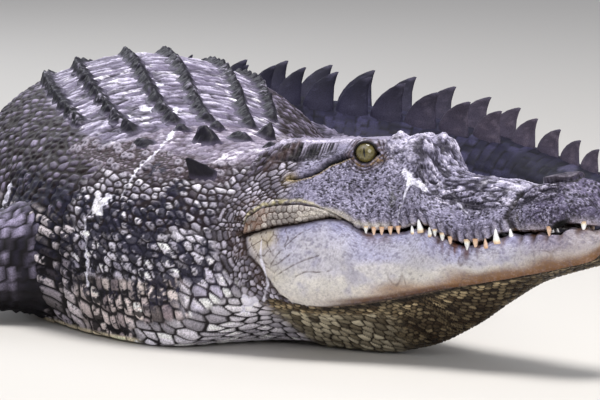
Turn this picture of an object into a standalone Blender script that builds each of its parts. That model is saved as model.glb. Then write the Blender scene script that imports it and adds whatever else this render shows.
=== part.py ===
"""Saltwater crocodile, life size, lying still: the solids of a museum model.

The whole animal is one skin surface, skin(s, v, side).  s runs back along the centre line from the
rear edge of the skull (head: s = -x, body: s > 0), v runs from the spine (0) round the flank to the
belly (8).  Lengths of that surface are closed into solids, and scutes, crest plates, teeth and claws
are joined to the solid they grow from.
"""

import bmesh
import bpy
import numpy as np
from mathutils import Matrix, Vector

GAP = 0.0006                 # air between two neighbouring solids
HEAD_HEIGHT = 0.335          # rear of the skull table above the floor
HEAD_PITCH = np.radians(7)   # snout raised by this much
HEAD_ROLL = 0.07             # slope by which the left half of the head hangs lower than the right
HEAD_LENGTH = 0.58
ORIGIN_S = 0.90              # this place under the belly is the origin
NECK_BLEND = 0.16            # length over which the head's shape turns into the neck's
PITCH_BLEND = 0.224          # length over which the raised head comes down to the level of the body
HEAD_END = 0.045             # the head solids stop this far behind the skull table


def curve(*knots):
    """Monotone cubic through (position, value) knots, held flat beyond the ends."""
    x, y = (np.array(c, float) for c in zip(*knots))
    step = np.diff(x)
    slope = np.diff(y) / step
    tangent = np.zeros(len(x))
    inner = slope[:-1] * slope[1:] > 0
    weight = step[1:] + 2 * step[:-1], 2 * step[1:] + step[:-1]
    with np.errstate(divide="ignore", invalid="ignore"):
        mean = sum(weight) / (weight[0] / slope[:-1] + weight[1] / slope[1:])
    tangent[1:-1] = np.where(inner, mean, 0)
    tangent[0], tangent[-1] = slope[0], slope[-1]

    def value(at):
        at = np.clip(np.asarray(at, float), x[0], x[-1])
        i = np.clip(np.searchsorted(x, at) - 1, 0, len(step) - 1)
        t = (at - x[i]) / step[i]
        return ((1 + 2 * t) * (1 - t) ** 2 * y[i] + t * (1 - t) ** 2 * step[i] * tangent[i]
                + t * t * (3 - 2 * t) * y[i + 1] - t * t * (1 - t) * step[i] * tangent[i + 1])

    return value


def smooth(t):
    t = np.clip(t, 0, 1)
    return t * t * (3 - 2 * t)


# Heading of the body, in degrees from +X towards -Y, at distances s behind the skull
HEADING = curve((-0.6, 38), (0, 38), (0.16, 50), (0.34, 72), (0.45, 80), (0.6, 83), (0.95, 84), (1.25, 89),
                (1.5, 109), (1.75, 150), (1.9, 176), (2.05, 194), (2.2, 212), (2.35, 226), (2.52, 238),
                (2.75, 236), (3.1, 220), (3.6, 196))
# Body sections: height of the back, half width, height of the widest place, half width of the belly flat
BACK = curve((0, 0.333), (0.1, 0.318), (0.2, 0.317), (0.34, 0.332), (0.5, 0.352), (0.7, 0.371), (0.9, 0.38),
             (1.1, 0.37), (1.3, 0.345), (1.5, 0.303), (1.7, 0.248), (1.9, 0.218), (2.05, 0.197),
             (2.2, 0.17), (2.35, 0.143), (2.5, 0.119), (2.7, 0.097), (2.95, 0.073), (3.25, 0.046),
             (3.5, 0.024), (3.6, 0.012))
WIDTH = curve((0, 0.19), (0.1, 0.212), (0.2, 0.235), (0.34, 0.265), (0.5, 0.295), (0.7, 0.322),
              (0.9, 0.332), (1.1, 0.322), (1.3, 0.28), (1.5, 0.222), (1.7, 0.17), (1.9, 0.135),
              (2.2, 0.102), (2.6, 0.066), (3.1, 0.038), (3.45, 0.018), (3.6, 0.007))
WAIST = curve((0, 0.17), (0.3, 0.15), (0.9, 0.145), (1.5, 0.12), (1.9, 0.085), (2.5, 0.05), (3.1, 0.028),
              (3.6, 0.006))
FLAT = curve((0, 0.1), (0.1, 0.16), (0.2, 0.19), (0.9, 0.245), (1.3, 0.21), (1.5, 0.15), (1.7, 0.1),
             (2.1, 0.055), (2.6, 0.032), (3.1, 0.018), (3.6, 0.003))
FULLNESS = curve((0, 2.3), (0.34, 2.05), (0.6, 1.92), (0.9, 1.88), (1.5, 1.95), (2.2, 1.75), (3.6, 1.7))

# Head sections in the head's own frame, at distances x in front of the skull's rear edge
TOP_Z = curve((-0.05, -0.012), (0, 0), (0.11, -0.002), (0.15, -0.009), (0.2, -0.011), (0.23, -0.011),
              (0.253, -0.021), (0.276, -0.054), (0.3, -0.066), (0.364, -0.077), (0.403, -0.082),
              (0.437, -0.092), (0.455, -0.083), (0.485, -0.078), (0.505, -0.0755), (0.519, -0.0755),
              (0.535, -0.0845), (0.56, -0.097), (0.58, -0.134))
RIDGE_Y = curve((-0.05, 0.09), (0, 0.078), (0.11, 0.064), (0.16, 0.058), (0.25, 0.036), (0.38, 0.031),
                (0.44, 0.028), (0.485, 0.03), (0.54, 0.024), (0.565, 0.016), (0.58, 0.003))
RIDGE_Z = curve((-0.05, -0.014), (0, 0.006), (0.05, 0.002), (0.11, 0.002), (0.15, -0.001), (0.18, -0.005),
                (0.2, 0.0045), (0.217, -0.004), (0.232, 0.001), (0.246, -0.003), (0.27, -0.06),
                (0.3, -0.073), (0.38, -0.084), (0.435, -0.095), (0.455, -0.086), (0.49, -0.081),
                (0.51, -0.086), (0.53, -0.099), (0.555, -0.112), (0.58, -0.142))
LIP_Y = curve((-0.05, 0.172), (0, 0.168), (0.06, 0.158), (0.12, 0.138), (0.18, 0.118), (0.25, 0.1),
              (0.33, 0.088), (0.38, 0.083), (0.41, 0.072), (0.435, 0.056), (0.46, 0.058), (0.5, 0.06),
              (0.535, 0.05), (0.565, 0.031), (0.58, 0.008))
MOUTH_Z = curve((-0.05, -0.14), (-0.03, -0.13), (0, -0.127), (0.06, -0.123), (0.115, -0.117),
                (0.14, -0.124), (0.165, -0.141), (0.195, -0.146), (0.23, -0.147), (0.266, -0.142),
                (0.298, -0.159), (0.342, -0.175), (0.37, -0.175), (0.418, -0.163), (0.5, -0.163),
                (0.534, -0.156), (0.567, -0.163), (0.58, -0.163))
JAW_Y = curve((-0.05, 0.172), (0.02, 0.163), (0.08, 0.145), (0.16, 0.118), (0.24, 0.094), (0.32, 0.076),
              (0.4, 0.062), (0.48, 0.05), (0.54, 0.038), (0.565, 0.024), (0.58, 0.004))
JAW_Z = curve((-0.05, -0.214), (0, -0.23), (0.05, -0.247), (0.1, -0.254), (0.16, -0.253), (0.3, -0.24),
              (0.4, -0.231), (0.5, -0.22), (0.55, -0.212), (0.58, -0.185))
THROAT_Z = curve((-0.05, -0.337), (0.1, -0.349), (0.19, -0.341), (0.285, -0.311), (0.36, -0.274),
                 (0.43, -0.244), (0.5, -0.229), (0.55, -0.218), (0.58, -0.188))
LIP_DEPTH = 0.026            # the upper lip is widest this far above the mouth line
LIP_FULL = curve((-0.05, 0.01), (0.1, 0.012), (0.3, 0.01), (0.5, 0.012),
                 (0.58, 0.002))  # bulge of the lower jaw
LIP_ROLL = 0.003             # the mouth line lies this far inside the lip
SIDE_MIX = (0.42, 0.58, 0.3)  # the guide point of the head's side: shares of ridge, lip and bulge
CHIN_MIX = (0.66, 0.62)      # the guide point of the chin: shares of the jaw's width and depth
JAW_BULGE = 0.8              # share of the bulge halfway down the lower jaw

EYE_AT, EYE_RADIUS = (0.1535, 0.066, -0.0195), 0.0205

# Scutes of the back: offset of each row from the spine, with its first and last scute
ROWS = ((0.036, 0, 14), (0.126, 0, 13), (0.18, 2, 11))
NARROWEST_ROW = 0.024        # no row comes nearer to the spine than this
SCUTE_PITCH, SCUTE_LENGTH, SCUTE_WIDTH, SCUTE_HEIGHT, SCUTE_ROOT = 0.074, 0.062, 0.034, 0.0165, 0.006
SCUTE_PEAK = 0.34            # the peak of a keel stands this share of its length behind its middle
# Neck shields: (s, offset from the spine, length, width, height of the right one, height of the left one)
NECK_SHIELDS = ((0.065, 0.036, 0.034, 0.026, 0.01, 0.014), (0.112, 0.14, 0.056, 0.03, 0.036, 0.034),
                (0.222, 0.032, 0.054, 0.042, 0.028, 0.015), (0.288, 0.11, 0.05, 0.036, 0.009, 0.027),
                (0.312, 0.03, 0.034, 0.028, 0.01, 0.013))
# Crest of the tail
CREST_PITCH = curve((1.44, 0.054), (1.82, 0.072), (2.22, 0.072), (2.3, 0.064), (2.7, 0.06), (3.1, 0.05),
                    (3.6, 0.032))
CREST_HEIGHT = curve((1.44, 0.026), (1.6, 0.046), (1.85, 0.072), (2.0, 0.074), (2.15, 0.068), (2.35, 0.054),
                     (2.5, 0.045), (2.7, 0.042), (3.1, 0.033), (3.4, 0.022), (3.6, 0.01))
CREST_SPREAD = curve((1.44, 0.045), (1.8, 0.05), (2.1, 0.04), (2.33, 0.014))
CREST_START, CREST_MERGE, CREST_END, CREST_THICK = 1.495, 2.3, 3.55, 0.016
CREST_SHARE = 0.87           # length of a plate as a share of the distance between plates
CREST_ROOT = 0.014           # depth of a plate in the tail
CREST_FULL = 0.07            # a plate this high is CREST_THICK thick, lower ones are thinner in proportion
PLATE_OUTLINE = ((-0.5, -0.3), (-0.1, 0.62), (0.5, 1.0), (0.42, -0.3))  # (along, up), leaning back
PLATE_THICKNESS = (1.0, 0.7, 0.25, 1.0)
TAIL_END = 3.6
TAIL_CUTS = (5, 10, 17, 25)  # the tail is parted in front of these crest plates

# Parting of the body, halfway between scutes
SCUTE_FIRST = 0.372
NECK_CUT, SHOULDER_CUT, BELLY_CUT, HIP_CUT = (SCUTE_FIRST + SCUTE_PITCH * (k - 0.5) for k in (0, 4, 10, 15))

# Round coordinates of the corners of the solids, the distance between their rings, and the rings of the head
ROUND_BODY = np.array([0, 0.7, 1.4, 2.2, 3.1, 4, 5, 6, 7, 8])
ROUND_TAIL = np.array([0, 1, 2.3, 4, 5.3, 7, 8])
ROUND_SKULL = np.array([0, 1, 1.4, 2, 2.6, 3, 3.5, 4])
ROUND_JAW = np.array([4, 4.5, 5, 5.6, 6, 6.5, 7, 8])
RING_PITCH = 0.085
HEAD_RINGS = (-HEAD_END, 0, 0.04, 0.08, 0.12, 0.15, 0.19, 0.235, 0.258, 0.283, 0.32, 0.36, 0.4, 0.435,
              0.455, 0.485, 0.52, 0.54, 0.56, 0.573)

# Legs.  Each joint is (s, offset from the spine, height), then (across, depth) half sizes of the limb there
NEAR_FRONT_LEG = (((0.38, 0.16, 0.108), (0.07, 0.085)), ((0.405, 0.30, 0.102), (0.07, 0.084)),
                  ((0.455, 0.405, 0.09), (0.056, 0.062)), ((0.41, 0.455, 0.072), (0.049, 0.049)),
                  ((0.36, 0.49, 0.048), (0.038, 0.038)))
FAR_FRONT_LEG = (((0.42, 0.16, 0.13), (0.07, 0.075)), ((0.46, 0.29, 0.13), (0.07, 0.07)),
                 ((0.525, 0.39, 0.115), (0.054, 0.055)), ((0.49, 0.425, 0.082), (0.049, 0.047)),
                 ((0.45, 0.435, 0.048), (0.038, 0.038)))
HIND_LEG = (((1.34, 0.11, 0.135), (0.085, 0.09)), ((1.305, 0.265, 0.14), (0.092, 0.088)),
            ((1.235, 0.375, 0.13), (0.064, 0.062)), ((1.285, 0.43, 0.1), (0.05, 0.05)),
            ((1.345, 0.46, 0.064), (0.037, 0.04)))
LEG_SIDES = 10
KNEE = 2                     # the joint in the list where the upper and the lower length meet
FRONT_FOOT = dict(length=0.075, width=0.05, toes=5, spread=100, toe=0.062, toe_width=0.0115, web=0.3)
HIND_FOOT = dict(length=0.115, width=0.055, toes=4, spread=62, toe=0.1, toe_width=0.0125, web=0.75)
CLAWED = 3                   # the inner toes that carry a claw
CLAW, TOE_END = 0.026, 0.008  # length beyond the toe, with and without a claw
CLAW_TIP, TOE_TIP = 0.003, 0.005  # height of the tip
TOE_HEIGHT = 0.011
WEB_THICK = 0.005
PALM_RINGS = ((0.3, 0.72, 0.05), (0.65, 0.95, 0.034), (1.0, 0.9, 0.022))  # (along, width share, height)

# Teeth that show: (x, length), upper ones hang from the upper lip, lower ones stand in the lower jaw
UPPER_TEETH = ((0.175, 0.007), (0.188, 0.009), (0.201, 0.009), (0.215, 0.009), (0.228, 0.008), (0.292, 0.007),
               (0.305, 0.01), (0.319, 0.009), (0.349, 0.014), (0.365, 0.012), (0.493, 0.011), (0.549, 0.013))
LOWER_TEETH = ((0.253, 0.008), (0.267, 0.016), (0.283, 0.01), (0.383, 0.01), (0.4, 0.018), (0.421, 0.012))
LIP_GAP = 0.008              # the jaws stand this far apart along the lips
TOOTH_ROOT = 0.004           # depth of a tooth in its gum
TOOTH_BED = 1.35             # the hollow in the gum opposite a tooth is this much larger
TOOTH_INSET = 0.0065         # the teeth stand this far inside the lip
JAW_INSIDE = 0.72            # width of the faces where the jaws meet, as a share of the lip's


def centre_line():
    """Positions of the centre line on the floor, one per step, integrated from the heading."""
    s = np.arange(0, TAIL_END + 0.011, 0.01)
    angle = np.radians(HEADING((s[1:] + s[:-1]) / 2))
    steps = np.stack([-np.cos(angle), np.sin(angle)], 1) * 0.01
    line = np.vstack([[0, 0], np.cumsum(steps, 0)])
    origin = [np.interp(ORIGIN_S, s, line[:, k]) for k in (0, 1)]
    return s, line - origin


LINE_S, LINE = centre_line()


def frame(s):
    """Centre, right and up vectors of the section at s (arrays); the centre is at the skull table's height."""
    s = np.asarray(s, float)
    angle = np.radians(HEADING(s))
    pitch = HEAD_PITCH * (1 - smooth(s / PITCH_BLEND))
    forward = np.stack([np.cos(angle), -np.sin(angle), np.zeros_like(s)], -1)
    right = np.stack([-np.sin(angle), -np.cos(angle), np.zeros_like(s)], -1)
    up = np.array([0, 0, 1.0]) * np.cos(pitch)[..., None] - forward * np.sin(pitch)[..., None]
    nose = forward * np.cos(HEAD_PITCH) + np.array([0, 0, 1.0]) * np.sin(HEAD_PITCH)
    body = np.stack([np.interp(s, LINE_S, LINE[:, 0]), np.interp(s, LINE_S, LINE[:, 1]),
                     np.full_like(s, HEAD_HEIGHT)], -1)
    return body + nose * np.maximum(-s, 0)[..., None], right, up


def place(s, y, z):
    """A point of the section at s: y to the right, z up; the head leans a little to the left."""
    centre, right, up = frame(s)
    y = np.asarray(y)
    z = z + 2 * np.minimum(y, 0) * HEAD_ROLL * (1 - smooth((np.asarray(s) - HEAD_END) / 0.14))
    return centre + right * y[..., None] + up * np.asarray(z)[..., None]


def head_section(x):
    """The nine guide points (y, z) from crown to throat of the head at x."""
    ridge = np.stack([RIDGE_Y(x), RIDGE_Z(x)], -1)
    lip = np.stack([LIP_Y(x), MOUTH_Z(x) + LIP_DEPTH], -1)
    mouth = np.stack([LIP_Y(x) - LIP_ROLL, MOUTH_Z(x)], -1)
    jaw = np.stack([JAW_Y(x), JAW_Z(x)], -1)
    floor = -(HEAD_HEIGHT + x * np.sin(HEAD_PITCH)) / np.cos(HEAD_PITCH)
    throat = np.stack([np.zeros_like(x), np.maximum(THROAT_Z(x), floor)], -1)
    crown = np.stack([np.zeros_like(x), TOP_Z(x)], -1)
    bulge = np.stack([LIP_FULL(x), np.zeros_like(x)], -1)
    side = sum(share * point for share, point in zip(SIDE_MIX, (ridge, lip, bulge)))
    chin = jaw * CHIN_MIX + throat * [0, 1 - CHIN_MIX[1]]
    return np.stack([crown, ridge, side, lip, mouth, (mouth + jaw) / 2 + bulge * JAW_BULGE, jaw, chin,
                     throat], -2)


def body_section(s):
    """The nine guide points of the body at s, heights measured from the skull table."""
    full, width, waist, flat = FULLNESS(s), WIDTH(s), WAIST(s), FLAT(s)
    points = []
    for turn in np.radians([0, 22, 45, 68, 90]):
        points.append((width * np.sin(turn) ** (2 / full),
                       waist + (BACK(s) - waist) * abs(np.cos(turn)) ** (2 / full)))
    for turn in np.radians([32, 62, 90]):
        points.append((flat + (width - flat) * np.cos(turn) ** 0.9, waist * (1 - np.sin(turn))))
    points.append((0 * s, 0 * s))
    level = -HEAD_HEIGHT
    return np.stack([np.stack([y, z + level], -1) for y, z in points], -2)


def section(s):
    s = np.atleast_1d(np.asarray(s, float))
    share = smooth((s + 0.03) / (NECK_BLEND + 0.03))[:, None, None]
    return head_section(-s) * (1 - share) + body_section(np.maximum(s, 0)) * share


def skin(s, v, side=1.0):
    """Points of the skin at station s (n) and round coordinates v (m): an n by m grid of positions."""
    guide = section(s)
    v = np.clip(np.asarray(v, float), 0, 8)
    i = np.minimum(v.astype(int), 7)
    t = (v - i)[None, :, None]
    mirror = np.array([-1.0, 1.0])
    padded = np.concatenate([guide[:, 1:2] * mirror, guide, guide[:, 7:8] * mirror], 1)
    a, b, c, d = (padded[:, i + k] for k in range(4))
    yz = b + 0.5 * t * (c - a + t * (2 * a - 5 * b + 4 * c - d + t * (3 * (b - c) + d - a)))
    s = np.atleast_1d(np.asarray(s, float))[:, None] + 0 * v[None]
    points = place(s, yz[..., 0] * side, yz[..., 1])
    points[..., 2] = np.maximum(points[..., 2], 0)
    return points


def surface(s, offset, side):
    """A point of the skin at this offset from the spine, its outward normal, the direction of the tail,
    and how much the skin is stretched there along the body by its bend."""
    v = np.linspace(0, 4, 81)
    ring = section(s)[0]
    width = np.interp(v, np.arange(9), ring[:, 0])
    at = np.interp(offset, width, v)
    step = 0.01
    here = skin([s - step, s, s + step], [max(at - 0.1, 0), at, at + 0.1], side)
    back = Vector(here[2, 1] - here[0, 1])
    stretch = back.length / (2 * step)
    back.normalize()
    round_ = Vector(here[1, 2] - here[1, 0])
    normal = back.cross(round_).normalized() * (-1 if side > 0 else 1)
    if normal.z < 0:
        normal = -normal
    return Vector(here[1, 1]), normal, back, stretch


def material(name, colour, roughness=0.6):
    found = bpy.data.materials.get(name)
    if found is None:
        found = bpy.data.materials.new(name)
        found.use_nodes = True
        shader = found.node_tree.nodes["Principled BSDF"]
        shader.inputs["Base Color"].default_value = (*colour, 1)
        shader.inputs["Roughness"].default_value = roughness
    return found


HIDE = dict(name="hide", colour=(0.13, 0.12, 0.13))
EYE = dict(name="eye", colour=(0.3, 0.25, 0.07), roughness=0.15)


def solid(name, verts, faces, look):
    mesh = bpy.data.meshes.new(name)
    mesh.from_pydata([tuple(v) for v in verts], [], faces)
    bm = bmesh.new()
    bm.from_mesh(mesh)
    bmesh.ops.recalc_face_normals(bm, faces=bm.faces)
    bm.to_mesh(mesh)
    bm.free()
    mesh.materials.append(material(**look))
    mesh.polygons.foreach_set("use_smooth", [True] * len(mesh.polygons))
    made = bpy.data.objects.new(name, mesh)
    bpy.context.scene.collection.objects.link(made)
    return made


def loft(name, rings, look=HIDE, tip=None):
    """A closed solid through rings of equal size; the ends are closed flat, or to a point at the last end."""
    count = len(rings[0])
    verts = [p for ring in rings for p in ring]
    faces = [[a * count + k, a * count + (k + 1) % count, (a + 1) * count + (k + 1) % count,
              (a + 1) * count + k]
             for a in range(len(rings) - 1) for k in range(count)]
    faces.append(list(range(count)))
    last = (len(rings) - 1) * count
    if tip is None:
        faces.append([last + k for k in reversed(range(count))])
    else:
        verts.append(tip)
        faces += [[last + k, last + (k + 1) % count, len(verts) - 1] for k in range(count)]
    return solid(name, verts, faces, look)


def join(target, pieces, operation="UNION"):
    """Joins pieces to a solid (or cuts them from it), then drops the pieces."""
    if not pieces:           # a length of the body without scutes
        return
    merged = pieces[0]
    if len(pieces) > 1:
        bm = bmesh.new()
        for piece in pieces:
            bm.from_mesh(piece.data)
        bm.to_mesh(merged.data)
        bm.free()
    change = target.modifiers.new("joined", "BOOLEAN")
    change.operation, change.object, change.solver = operation, merged, "EXACT"
    bpy.context.view_layer.update()
    result = bpy.data.meshes.new_from_object(target.evaluated_get(bpy.context.evaluated_depsgraph_get()))
    target.modifiers.remove(change)
    bm = bmesh.new()
    bm.from_mesh(result)
    bmesh.ops.remove_doubles(bm, verts=bm.verts, dist=0.00005)
    bmesh.ops.dissolve_degenerate(bm, edges=bm.edges, dist=0.00005)
    bmesh.ops.triangulate(bm, faces=[f for f in bm.faces if len(f.verts) > 4])
    bm.to_mesh(result)
    bm.free()
    target.data = result
    for piece in pieces:
        bpy.data.objects.remove(piece)


def axes_matrix(origin, along, up):
    """Frame with x along, z up (made square) at origin."""
    across = up.cross(along).normalized()
    up = along.cross(across).normalized()
    return Matrix.Translation(origin) @ Matrix((along, across, up)).transposed().to_4x4()


def keel(s, offset, side, length, width, height):
    """One keeled scute: it rises to a peak near its rear edge."""
    where, normal, back, stretch = surface(s, offset, side)
    length *= min(stretch, 1)
    base = [(-length / 2, -width / 2), (length / 2, -width / 2), (length / 2, width / 2),
            (-length / 2, width / 2)]
    corners = [(x, y, -SCUTE_ROOT) for x, y in base]
    corners.append((length * SCUTE_PEAK, 0, height))
    faces = [(0, 3, 2, 1), (0, 1, 4), (1, 2, 4), (2, 3, 4), (3, 0, 4)]
    frame_ = axes_matrix(where, back, normal)
    return solid("scute", [frame_ @ Vector(c) for c in corners], faces, HIDE)


def plate(s, offset, side, length, height):
    """One crest plate of the tail, leaning back."""
    where, normal, back, stretch = surface(s, offset, side)
    length *= min(stretch, 1)
    up = (Vector((0, 0, 1)) * 2 + normal).normalized()
    half = CREST_THICK * height / CREST_FULL / 2
    corners = [(x * length, sign * t * half, z * height if z > 0 else -CREST_ROOT)
               for sign in (-1, 1) for (x, z), t in zip(PLATE_OUTLINE, PLATE_THICKNESS)]
    count = len(PLATE_OUTLINE)
    faces = [tuple(range(count)), tuple(reversed(range(count, 2 * count)))]
    faces += [(k, k + count, (k + 1) % count + count, (k + 1) % count) for k in range(count)]
    frame_ = axes_matrix(where, back, up)
    return solid("plate", [frame_ @ Vector(c) for c in corners], faces, HIDE)


def body_ring(s, around):
    right, left = skin([s], around)[0], skin([s], around, -1.0)[0]
    return list(right) + list(left[-2:0:-1])


def body_rings(start, end, around):
    return [body_ring(s, around)
            for s in np.linspace(start, end, max(2, round((end - start) / RING_PITCH) + 1))]


def jaw_rings(xs, around, upper):
    """Rings of one jaw: the outer skin, then the inner face where the jaws meet."""
    rings = []
    for x in xs:
        right, left = (skin([-x], around, sign)[0] for sign in (1.0, -1.0))
        _, _, up = frame(np.array(-x))
        part = LIP_GAP * smooth((x - 0.1) / 0.1) * smooth((HEAD_LENGTH - x) / 0.02) + GAP
        shift = up * part / 2 * (1 if upper else -1)
        index = -1 if upper else 0
        right[index] += shift
        left[index] += shift
        lip_y, lip_z = section(-x)[0, 4]
        lip_z += GAP / 2 * (1 if upper else -1)
        inner = [place(np.array(-x), lip_y * share, lip_z) for share in (JAW_INSIDE, 0.0, -JAW_INSIDE)]
        if upper:
            rings.append(list(left[::-1]) + list(right[1:]) + inner)
        else:
            rings.append(list(right) + list(left[-2::-1]) + inner[::-1])
    return rings


def tooth(x, length, side, up_sign, scale=1.0):
    """A cone on the lip line; up_sign -1 hangs from the upper jaw, +1 stands in the lower jaw."""
    root = (0.0015 + length * 0.24) * scale
    y = (float(LIP_Y(x)) - TOOTH_INSET) * side
    _, right, up = (Vector(c) for c in frame(np.array(-x)))
    start = Vector(place(np.array(-x), y, float(MOUTH_Z(x)) - up_sign * (LIP_GAP / 2 + TOOTH_ROOT)))
    lean = (up * up_sign + right * side * 0.1).normalized()
    along = lean.orthogonal().normalized()
    across = lean.cross(along)
    height = length + TOOTH_ROOT + 0.0015 * (scale > 1)
    ring = [start + (along * np.cos(t) + across * np.sin(t)) * root
            for t in np.radians(np.arange(0, 360, 72))]
    return loft("tooth", [ring], tip=start + lean * height)


def teeth(rows, up_sign, scale=1.0):
    return [tooth(x, size, side, up_sign, scale) for x, size in rows for side in (1, -1)]


def eyes():
    made = []
    for side, name in ((1, "eye_right"), (-1, "eye_left")):
        x, y, z = EYE_AT
        centre = Vector(place(np.array(-x), y * side, z))
        for radius, label in ((EYE_RADIUS, name), (EYE_RADIUS + GAP, "socket")):
            bm = bmesh.new()
            bmesh.ops.create_uvsphere(bm, u_segments=12, v_segments=7, radius=radius)
            ball = [centre + v.co for v in bm.verts]
            faces = [[v.index for v in f.verts] for f in bm.faces]
            bm.free()
            made.append(solid(label, ball, faces, EYE if label == name else HIDE))
    return made[1::2]


def head():
    upper = loft("skull_and_snout", jaw_rings(HEAD_RINGS, ROUND_SKULL, True))
    lower = loft("lower_jaw", jaw_rings(HEAD_RINGS, ROUND_JAW, False))
    join(upper, eyes() + teeth(LOWER_TEETH, 1, TOOTH_BED), "DIFFERENCE")
    join(lower, teeth(UPPER_TEETH, -1, TOOTH_BED), "DIFFERENCE")
    join(upper, teeth(UPPER_TEETH, -1))
    join(lower, teeth(LOWER_TEETH, 1))


def crest_stations():
    at = [CREST_START]
    while at[-1] + float(CREST_PITCH(at[-1])) < CREST_END:
        at.append(at[-1] + float(CREST_PITCH(at[-1])))
    return at


def lengths():
    """The lengths of the body behind the head: (name, start, end, round coordinates)."""
    crest = crest_stations()
    tail = [(crest[k] + crest[k - 1]) / 2 for k in TAIL_CUTS] + [TAIL_END]
    names = ("neck", "shoulders", "belly", "hips", "tail_root", "tail_front", "tail_middle", "tail_rear",
             "tail_tip")
    ends = [NECK_CUT, SHOULDER_CUT, BELLY_CUT, HIP_CUT] + tail
    starts = [HEAD_END] + ends[:-1]
    rounds = [ROUND_BODY] * 5 + [ROUND_TAIL] * 4
    return [(name, start + GAP, end, around) for name, start, end, around in zip(names, starts, ends, rounds)]


def body():
    crest = crest_stations()
    for name, start, end, around in lengths():
        part = loft(name, body_rings(start, end, around))
        growth = []
        if name == "neck":
            growth = [keel(s, offset, side, long_, wide, high) for s, offset, long_, wide,
                      *heights in NECK_SHIELDS
                      for side, high in zip((1, -1), heights)]
        for offset, first, last in ROWS:
            for k in range(first, last + 1):
                s = SCUTE_FIRST + SCUTE_PITCH * k
                spread = max(offset * float(WIDTH(s)) / float(WIDTH(ORIGIN_S)), NARROWEST_ROW)
                if start < s < end:
                    growth += [keel(s, spread, side, SCUTE_LENGTH, SCUTE_WIDTH, SCUTE_HEIGHT)
                               for side in (1, -1)]
        for s in crest:
            if start < s < end:
                long_, double = float(CREST_PITCH(s)) * CREST_SHARE, s < CREST_MERGE
                offset = float(CREST_SPREAD(s)) if double else 0.0
                sides = (1, -1) if double else (1,)
                growth += [plate(s, offset, side, long_, float(CREST_HEIGHT(s))) for side in sides]
        join(part, growth)


def body_cutter():
    """The body from neck to tail root, a gap larger all round, to cut the roots of the legs."""
    rings = []
    for name, start, end, around in lengths():
        if around is ROUND_BODY:
            rings += body_rings(start, end, around)
    cutter = loft("cutter", rings)
    bm = bmesh.new()
    bm.from_mesh(cutter.data)
    bm.normal_update()
    for vert in bm.verts:
        vert.co += vert.normal * GAP * 1.5
    bm.to_mesh(cutter.data)
    bm.free()
    return cutter


def limb_ring(centre, tangent, across, deep):
    """An oval section of a leg, its long way level, kept above the floor."""
    level = tangent.cross(Vector((0, 0, 1))).normalized()
    rise = level.cross(tangent).normalized()
    ring = [centre + level * np.cos(t) * across + rise * np.sin(t) * deep
            for t in np.radians(np.arange(0, 360, 360 / LEG_SIDES))]
    return [Vector((p.x, p.y, max(p.z, 0))) for p in ring]


def foot(name, ankle, inward, ahead, length, width, toes, spread, toe, toe_width, web):
    """A flat foot: the palm, toes in a fan, a web between them and claws on the inner ones."""
    across = Vector((0, 0, 1)).cross(ahead).normalized()
    if across.dot(inward) < 0:
        across = -across
    base = sum((Vector((point.x, point.y, 0)) / len(ankle) for point in ankle), Vector())
    rings = [ankle]
    for part, wide, high in PALM_RINGS:
        middle = base + ahead * length * part + Vector((0, 0, high * 0.45))
        rings.append(limb_ring(middle, ahead, width * wide, high * 0.55))
    made = loft(name, rings)
    pieces, tips = [], []
    knuckles = base + ahead * length * 0.86
    for k in range(toes):
        share = k / (toes - 1) - 0.5
        turn = np.radians(-share * spread)
        way = (ahead * np.cos(turn) + across * np.sin(turn)).normalized()
        start = knuckles - across * share * width * 1.3 + Vector((0, 0, 0.009))
        long_ = toe * (1 - 0.9 * (abs(share + 0.1)) ** 2)
        rings = [limb_ring(start + way * long_ * part, way, toe_width * wide, TOE_HEIGHT * wide)[::2]
                 for part, wide in ((-0.2, 1.15), (1.0, 0.8))]
        clawed = k < CLAWED
        end = start + way * (long_ + (CLAW if clawed else TOE_END))
        pieces.append(loft("toe", rings, tip=Vector((end.x, end.y, CLAW_TIP if clawed else TOE_TIP))))
        tips.append(start + way * long_ * web)
    for piece in pieces:
        join(made, [piece])
    rim = [knuckles - ahead * length * 0.2] + tips
    plate_ = [Vector((p.x, p.y, z)) for z in (0.003, 0.003 + WEB_THICK) for p in rim]
    count = len(rim)
    faces = [tuple(range(count)), tuple(reversed(range(count, 2 * count)))]
    faces += [(k, k + count, (k + 1) % count + count, (k + 1) % count) for k in range(count)]
    join(made, [solid("web", plate_, faces, HIDE)])


def leg(name, joints, shape, side, turn):
    """A leg in three lengths; turn is the way its foot points, in degrees outward from the head."""
    points, sizes = [], []
    for (s, offset, height), size in joints:
        centre, right, _ = frame(np.array(s))
        point = Vector(centre + right * offset * side)
        point.z = height
        points.append(point)
        sizes.append(size)
    _, right, _ = frame(np.array(joints[-1][0][0]))
    outward = Vector(right) * side
    forward = Vector((0, 0, 1)).cross(Vector(right))
    ahead = (forward * np.cos(np.radians(turn)) + outward * np.sin(np.radians(turn))).normalized()
    points.append(points[-1] + ahead)
    rings = [[], []]
    for k, size in enumerate(sizes):
        before = (points[k] - points[k - 1]).normalized() if k else Vector()
        tangent = (before + (points[k + 1] - points[k]).normalized()).normalized()
        ring = limb_ring(points[k], tangent, *size)
        if k <= KNEE:
            rings[0].append(ring)
        if k >= KNEE:
            rings[1].append([p + tangent * GAP * (k == KNEE) for p in ring])
    upper = loft(name + "_upper", rings[0])
    join(upper, [body_cutter()], "DIFFERENCE")
    lower = loft(name + "_lower", rings[1])
    join(lower, [body_cutter()], "DIFFERENCE")
    foot(name + "_foot", [p + tangent * GAP for p in rings[1][-1]], -outward, ahead, **shape)


def legs():
    leg("front_leg_right", NEAR_FRONT_LEG, FRONT_FOOT, 1, 35)
    leg("front_leg_left", FAR_FRONT_LEG, FRONT_FOOT, -1, 15)
    leg("hind_leg_right", HIND_LEG, HIND_FOOT, 1, 55)
    leg("hind_leg_left", HIND_LEG, HIND_FOOT, -1, 55)


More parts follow.
